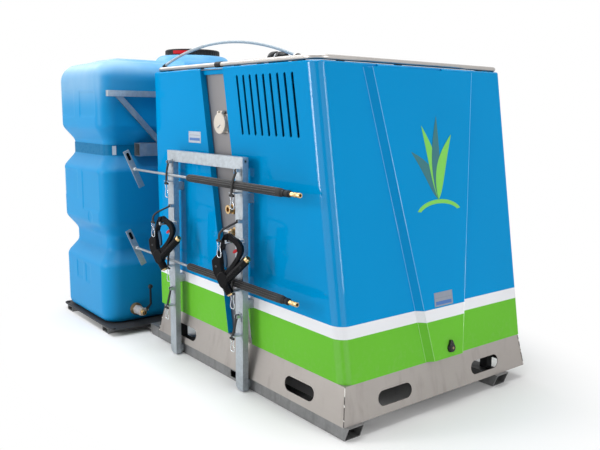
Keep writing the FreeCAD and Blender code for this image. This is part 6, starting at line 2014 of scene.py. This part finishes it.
@dataclass
class Gun:
    """A trigger gun. Sizes in millimetres: u along the gun's plane, v upwards, w out to the front."""

    side: str
    centre: float
    y: float = -113.0
    z: float = 530.0
    turn: float = 25.0
    handle: Profile = ((-31, 164), (-55, 80), (-88, 47), (-90, 36), (-83, -12), (-66, -39), (-44, -70),
                       (-10, -50), (-34, -6), (-44, 10), (-40, 96), (-14, 140), (-1, 172))
    handle_thick: float = 33.6
    guard: Profile = ((-31, 164), (-1, 172), (13, 157), (50, 142), (68, 107), (60, 75), (31, 31), (-10, -30),
                      (-30, -6), (12, 37), (41, 82), (39, 110), (17, 133), (-14, 142))
    guard_thick: float = 23.6
    knuckle: Profile = ((-70, -30), (-38, -86), (-6, -68), (-8, -20), (-36, 4))
    knuckle_thick: float = 37.6
    trigger: Profile = ((-41, 90), (-33, 94), (-24, 84), (-18, 52), (-17, 18), (-26, 12), (-31, 50))
    trigger_thick: float = 13.6
    catch: Profile = ((30, 103), (24, 101), (14, 91), (13.5, 82.5), (24, 83), (36, 92), (36, 99))
    catch_thick: float = 7.6
    screws: Profile = ((-66.0, 18.0), (-50.0, -44.0))
    screw: Profile = ((0.0, 2.4), (0.0, 4.6), (0.4, 5.0), (1.2, 5.0), (1.2, 2.4))
    screw_proud: float = 0.5
    sleeve_ends: tuple[Pair, Pair] = ((-22.0, -44.0), (80.0, 56.0))
    nose_ends: tuple[Pair, Pair] = ((-30.0, -60.0), (-3.0, -104.0))
    inlet_ends: tuple[Pair, Pair] = ((80.1, 56.1), (92.1, 67.86))
    outlet_ends: tuple[Pair, Pair] = ((-3.0, -104.0), (0.5, -109.7))
    sides: int = 36
    inlet: Profile = ((0.0, 9.2), (0.0, 14.6), (3.0, 15.0), (8.0, 15.0), (8.6, 14.2), (12.0, 14.2),
                      (12.6, 15.0), (15.6, 15.0), (16.7, 14.0), (16.7, 9.2))
    outlet: Profile = ((0.0, 9.2), (0.0, 13.9), (3.0, 13.9), (3.4, 12.8), (6.6, 12.8), (6.6, 9.2))

    def point(self, u: float, v: float, w: float = 0.0) -> Vector:
        """A point in the gun's plane or before it.

        Args:
            u: its place along the plane.
            v: its height.
            w: how far it stands in front of the plane.

        Returns:
            The point in metres.
        """
        a = math.radians(self.turn)
        return at(self.centre + u * math.cos(a) + w * math.sin(a), self.y + u * math.sin(a) - w * math.cos(a),
                  self.z + v)

    def flat(self, outline: Sequence[Pair], thick: float) -> Shape:
        """A piece of the gun with a rounded outline.

        Args:
            outline: its (u, v) pairs.
            thick: its thickness, half on each side of the gun's plane.

        Returns:
            The shape.
        """
        line = rounded([Vector((u, v, 0.0)) for u, v in outline], 1, True)
        low = [self.point(p.x, p.y, -thick / 2) for p in line]
        return Shape().slab(low, self.point(0.0, 0.0, thick) - self.point(0.0, 0.0, 0.0))

    def ribbed(self, start: Pair, end: Pair, radius: float, ribs: int, depth: float) -> Shape:
        """A ribbed round.

        Args:
            start: the (u, v) place of one end.
            end: that of the other.
            radius: its radius over the ribs.
            ribs: how many grooves it has.
            depth: how deep they are.

        Returns:
            The shape.
        """
        a, b = self.point(*start), self.point(*end)
        long = (b - a).length * MM_PER_M
        pitch = (long - 8.0) / ribs
        profile = [(0.0, radius - 4.0), (0.0, radius - 1.5), (1.5, radius)]
        for k in range(ribs):
            along = 4.0 + pitch * k
            profile += [(along, radius), (along + pitch * 0.15, radius - depth),
                        (along + pitch * 0.4, radius - depth), (along + pitch * 0.55, radius)]
        profile += [(long - 1.5, radius), (long, radius - 1.5), (long, radius - 4.0)]
        return Shape().turned(a, b - a, profile, self.sides)

    def tube(self, start: Pair, end: Pair, profile: Sequence[Pair]) -> Shape:
        """A hollow turned piece between two (u, v) places."""
        a, b = self.point(*start), self.point(*end)
        return Shape().turned(a, b - a, profile, self.sides, True)

    def plastic(self, shop: Workshop, node: str) -> None:
        """The gun's black mouldings and their screws.

        Args:
            shop: where the pieces go.
            node: how the gun's names start.
        """
        slot, body = "gun_plastic", "machine"
        handle = self.flat(self.handle, self.handle_thick)
        shop.add(node + "_handle", handle, Coat.GUN, body, slot, [node + "_body"], 5.0)
        guard = self.flat(self.guard, self.guard_thick)
        shop.add(node + "_guard", guard, Coat.GUN, body, slot, (), 4.5)
        knuckle = self.flat(self.knuckle, self.knuckle_thick)
        shop.add(node + "_knuckle", knuckle, Coat.GUN, body, slot, (), 4.0)
        sleeve = self.ribbed(*self.sleeve_ends, 19.0, 26, 0.7)
        shop.add(node + "_sleeve", sleeve, Coat.GUN, body, slot)
        nose = self.ribbed(*self.nose_ends, 20.0, 6, 1.6)
        shop.add(node + "_nose", nose, Coat.GUN, body, slot)
        face = self.handle_thick / 2
        for number, (u, v) in enumerate(self.screws, 1):
            deep = self.point(u, v, face) - self.point(u, v, face + 1.0)
            head = Shape().turned(self.point(u, v, face + self.screw_proud), deep, self.screw, 20, True)
            shop.add("%s_screw_%d" % (node, number), head, Coat.IRON, body, slot)

    def build(self, shop: Workshop) -> None:
        """Make the gun's finer pieces.

        Args:
            shop: where the pieces go.
        """
        node = "gun_" + self.side
        self.plastic(shop, node)
        inlet = self.tube(*self.inlet_ends, self.inlet)
        shop.add(node + "_inlet", inlet, Coat.BRASS, "machine", "brass", [node + "_fittings"])
        outlet = self.tube(*self.outlet_ends, self.outlet)
        shop.add(node + "_outlet", outlet, Coat.BRASS, "machine", "brass")
        lever, catch = self.flat(self.trigger, self.trigger_thick), self.flat(self.catch, self.catch_thick)
        shop.add(node + "_lever", lever, Coat.TRIGGER, "trigger_" + self.side, "trigger_plastic",
                 [node + "_trigger"], 2.5)
        shop.add(node + "_catch", catch, Coat.RED, "safety_" + self.side, "red_plastic",
                 [node + "_safety"], 1.4)


@dataclass
class PlateRivets:
    """The rivets in the corners of the front's blank plate. Sizes in millimetres."""

    middle: Triple = (-1183.2, 25.9, 1098.0)
    half: Pair = (52.0, 22.0)
    radius: float = 2.2
    height: float = 0.8

    def build(self, shop: Workshop) -> None:
        """Set the heads on the plate.

        Args:
            shop: where the piece goes.
        """
        x, y, z = self.middle
        wide, high = self.half
        places = [at(x + sx * wide, y, z + sz * high) for sx in (-1, 1) for sz in (-1, 1)]
        forward = Vector((0.0, -1.0, 0.0))
        heads = RivetHeads(Coat.RAIL).mesh("front_plate_rivets", places, forward, self.radius, self.height)
        shop.add("front_plate_rivets", heads, Coat.RAIL, "machine", "plate_foil")


# Stage


@dataclass(frozen=True)
class Lamp:
    """A soft box: where it stands and what it aims at, its sides, all in metres, and its power in watts."""

    name: str
    place: Triple
    aim: Triple
    wide: float
    tall: float
    power: float

    def build(self) -> None:
        """Hang the lamp."""
        data = bpy.data.lights.new(self.name, "AREA")
        data.shape = "RECTANGLE"
        data.size, data.size_y = self.wide, self.tall
        data.energy = self.power
        made = bpy.data.objects.new(self.name, data)
        made.location = self.place
        made.rotation_euler = (Vector(self.aim) - Vector(self.place)).to_track_quat("-Z", "Y").to_euler()
        bpy.context.scene.collection.objects.link(made)


@dataclass
class Stage:
    """The floor, the world, the lamps and the camera. Places and sizes in metres, the lens in millimetres."""

    eye: Triple = (3.1721, -2.3469, 1.2822)
    right: Triple = (0.6156, 0.7880, 0.0115)
    up: Triple = (-0.1421, 0.0966, 0.9851)
    ahead: Triple = (-0.7752, 0.6081, -0.1714)
    lens: float = 41.84
    sensor: float = 36.0
    shift: Pair = (0.0062, 0.0157)
    far: float = 100.0
    ambient: float = 0.42
    spread: Pair = (0.78, 1.2)
    fade: Pair = (1.05, 1.75)
    floor_half: float = 30.0
    floor_height: float = -0.0005
    floor_grey: Colour = (0.88, 0.88, 0.88)
    floor_rough: float = 0.9
    lamps: tuple[Lamp, ...] = (
        Lamp("left_box", (-1.4, -4.5, 1.9), (0.9, -0.3, 0.7), 1.2, 2.6, 108.0),
        Lamp("right_box", (5.5, 0.3, 2.0), (1.0, -0.1, 0.7), 1.1, 2.6, 85.0),
        Lamp("tank_key", (-4.7, -1.2, 4.3), (-0.9, -0.1, 1.2), 1.8, 1.8, 60.0),
        Lamp("top_box", (-0.3, -0.3, 4.6), (-0.3, 0.0, 0.8), 4.0, 3.0, 185.0),
    )

    def camera(self) -> None:
        """Set the camera where the photograph was taken from."""
        data = bpy.data.cameras.new("camera")
        data.sensor_width = self.sensor
        data.lens = self.lens
        data.shift_x, data.shift_y = self.shift
        data.clip_end = self.far
        made = bpy.data.objects.new("camera", data)
        columns = [Vector(self.right), Vector(self.up), -Vector(self.ahead)]
        turn = Matrix([[column[row] for column in columns] for row in range(3)]).to_4x4()
        made.matrix_world = Matrix.Translation(Vector(self.eye)) @ turn
        bpy.context.scene.collection.objects.link(made)
        bpy.context.scene.camera = made

    def world(self) -> None:
        """A white world to look at, and a softer one that lights."""
        world = bpy.data.worlds.new("studio")
        bpy.context.scene.world = world
        world.use_nodes = True
        world.node_tree.nodes.clear()
        tree = Tree(world.node_tree)
        ray = tree.node("ShaderNodeLightPath").outputs
        seen = Value(tree, ray["Is Camera Ray"]).most(ray["Is Glossy Ray"]).most(ray["Is Transmission Ray"])
        level = tree.node("ShaderNodeMapRange", {}, {"Value": seen, "To Min": self.ambient, "To Max": 1.0})
        glow = tree.node("ShaderNodeBackground", {}, {"Color": rgba(WHITE), "Strength": level.outputs[0]})
        tree.node("ShaderNodeOutputWorld", {}, {"Surface": glow.outputs[0]})

    def floor_paint(self) -> bpy.types.Material:
        """White near the machine, where it takes the shadow, and the background's white further out.

        Returns:
            The material.
        """
        p = Paint("studio_floor")
        far = p.node("ShaderNodeVectorMath", {"operation": "LENGTH"}, {0: p.spot(None, (*self.spread, 0.0))})
        fade = Value(p, far.outputs["Value"]).ramp(*self.fade)
        ray = p.node("ShaderNodeLightPath").outputs
        seen = Value(p, ray["Is Camera Ray"]) + ray["Is Glossy Ray"]
        glow = p.node("ShaderNodeEmission", {}, {"Color": rgba(WHITE), "Strength": 1.0})
        mixed = p.node("ShaderNodeMixShader", {},
                       {0: fade * seen, 1: p.shader.outputs[0], 2: glow.outputs[0]})
        p.feed(p.output.inputs["Surface"], mixed.outputs[0])
        return p.finish(Base_Color=rgba(self.floor_grey), Roughness=self.floor_rough, Specular_IOR_Level=0.0)

    def floor(self) -> None:
        """A wide floor that keeps the shadow near the machine and fades to the background."""
        mesh = bpy.data.meshes.new("floor")
        signs = ((-1, -1), (1, -1), (1, 1), (-1, 1))
        corners = [(sx * self.floor_half, sy * self.floor_half, self.floor_height) for sx, sy in signs]
        mesh.from_pydata(corners, [], [(0, 1, 2, 3)])
        mesh.materials.append(self.floor_paint())
        made = bpy.data.objects.new("floor", mesh)
        bpy.context.scene.collection.objects.link(made)

    def build(self) -> None:
        """Set the whole stage."""
        bpy.context.scene.view_settings.view_transform = "Standard"
        self.camera()
        self.world()
        for lamp in self.lamps:
            lamp.build()
        self.floor()


def main(frame: dict[str, Any]) -> None:
    """Build everything in order.
    """
    Stage().build()
    shop = Workshop(frame)
    Frame().build(shop)
    Tank().build(shop)
    Outlet().build(shop)
    Roof().build(shop)
    Hatch().build(shop)
    Lance("upper", z=905.0, grip_x=-1092.0, grip_length=763.0, collar=57.0, brass=58.0).build(shop)
    Lance("lower", z=462.0, grip_x=-1097.0, grip_length=782.0, collar=42.0, brass=48.0).build(shop)
    rows = (("left", -1306.0, -71.8, 70.0, -1260.0), ("right", -674.0, -83.3, 58.0, -640.0))
    for side, x, over_lance, upper_reach, gun_x in rows:
        straps = (
            Strap("strap_upper_" + side, StrapUse.LANCE, x, 970.0, 860.0, over_lance, upper_reach),
            Strap("strap_lower_" + side, StrapUse.LANCE, x, 527.0, 417.0, over_lance, 70.0),
            Strap("strap_gun_" + side, StrapUse.GUN, x + 12.0, 745.0, 668.0, -158.0, 72.0),
            Strap("strap_spare_" + side, StrapUse.SPARE, x, 305.0, 205.0, -84.0, 60.0),
        )
        for strap in straps:
            strap.build(shop)
        Gun(side, gun_x).build(shop)
    PlateRivets().build(shop)
    LOG.info("%d pieces made", shop.count)


if __name__ == "__main__":
    logging.basicConfig(level=logging.INFO, format="%(name)s %(message)s")
    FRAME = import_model()
    main(FRAME)
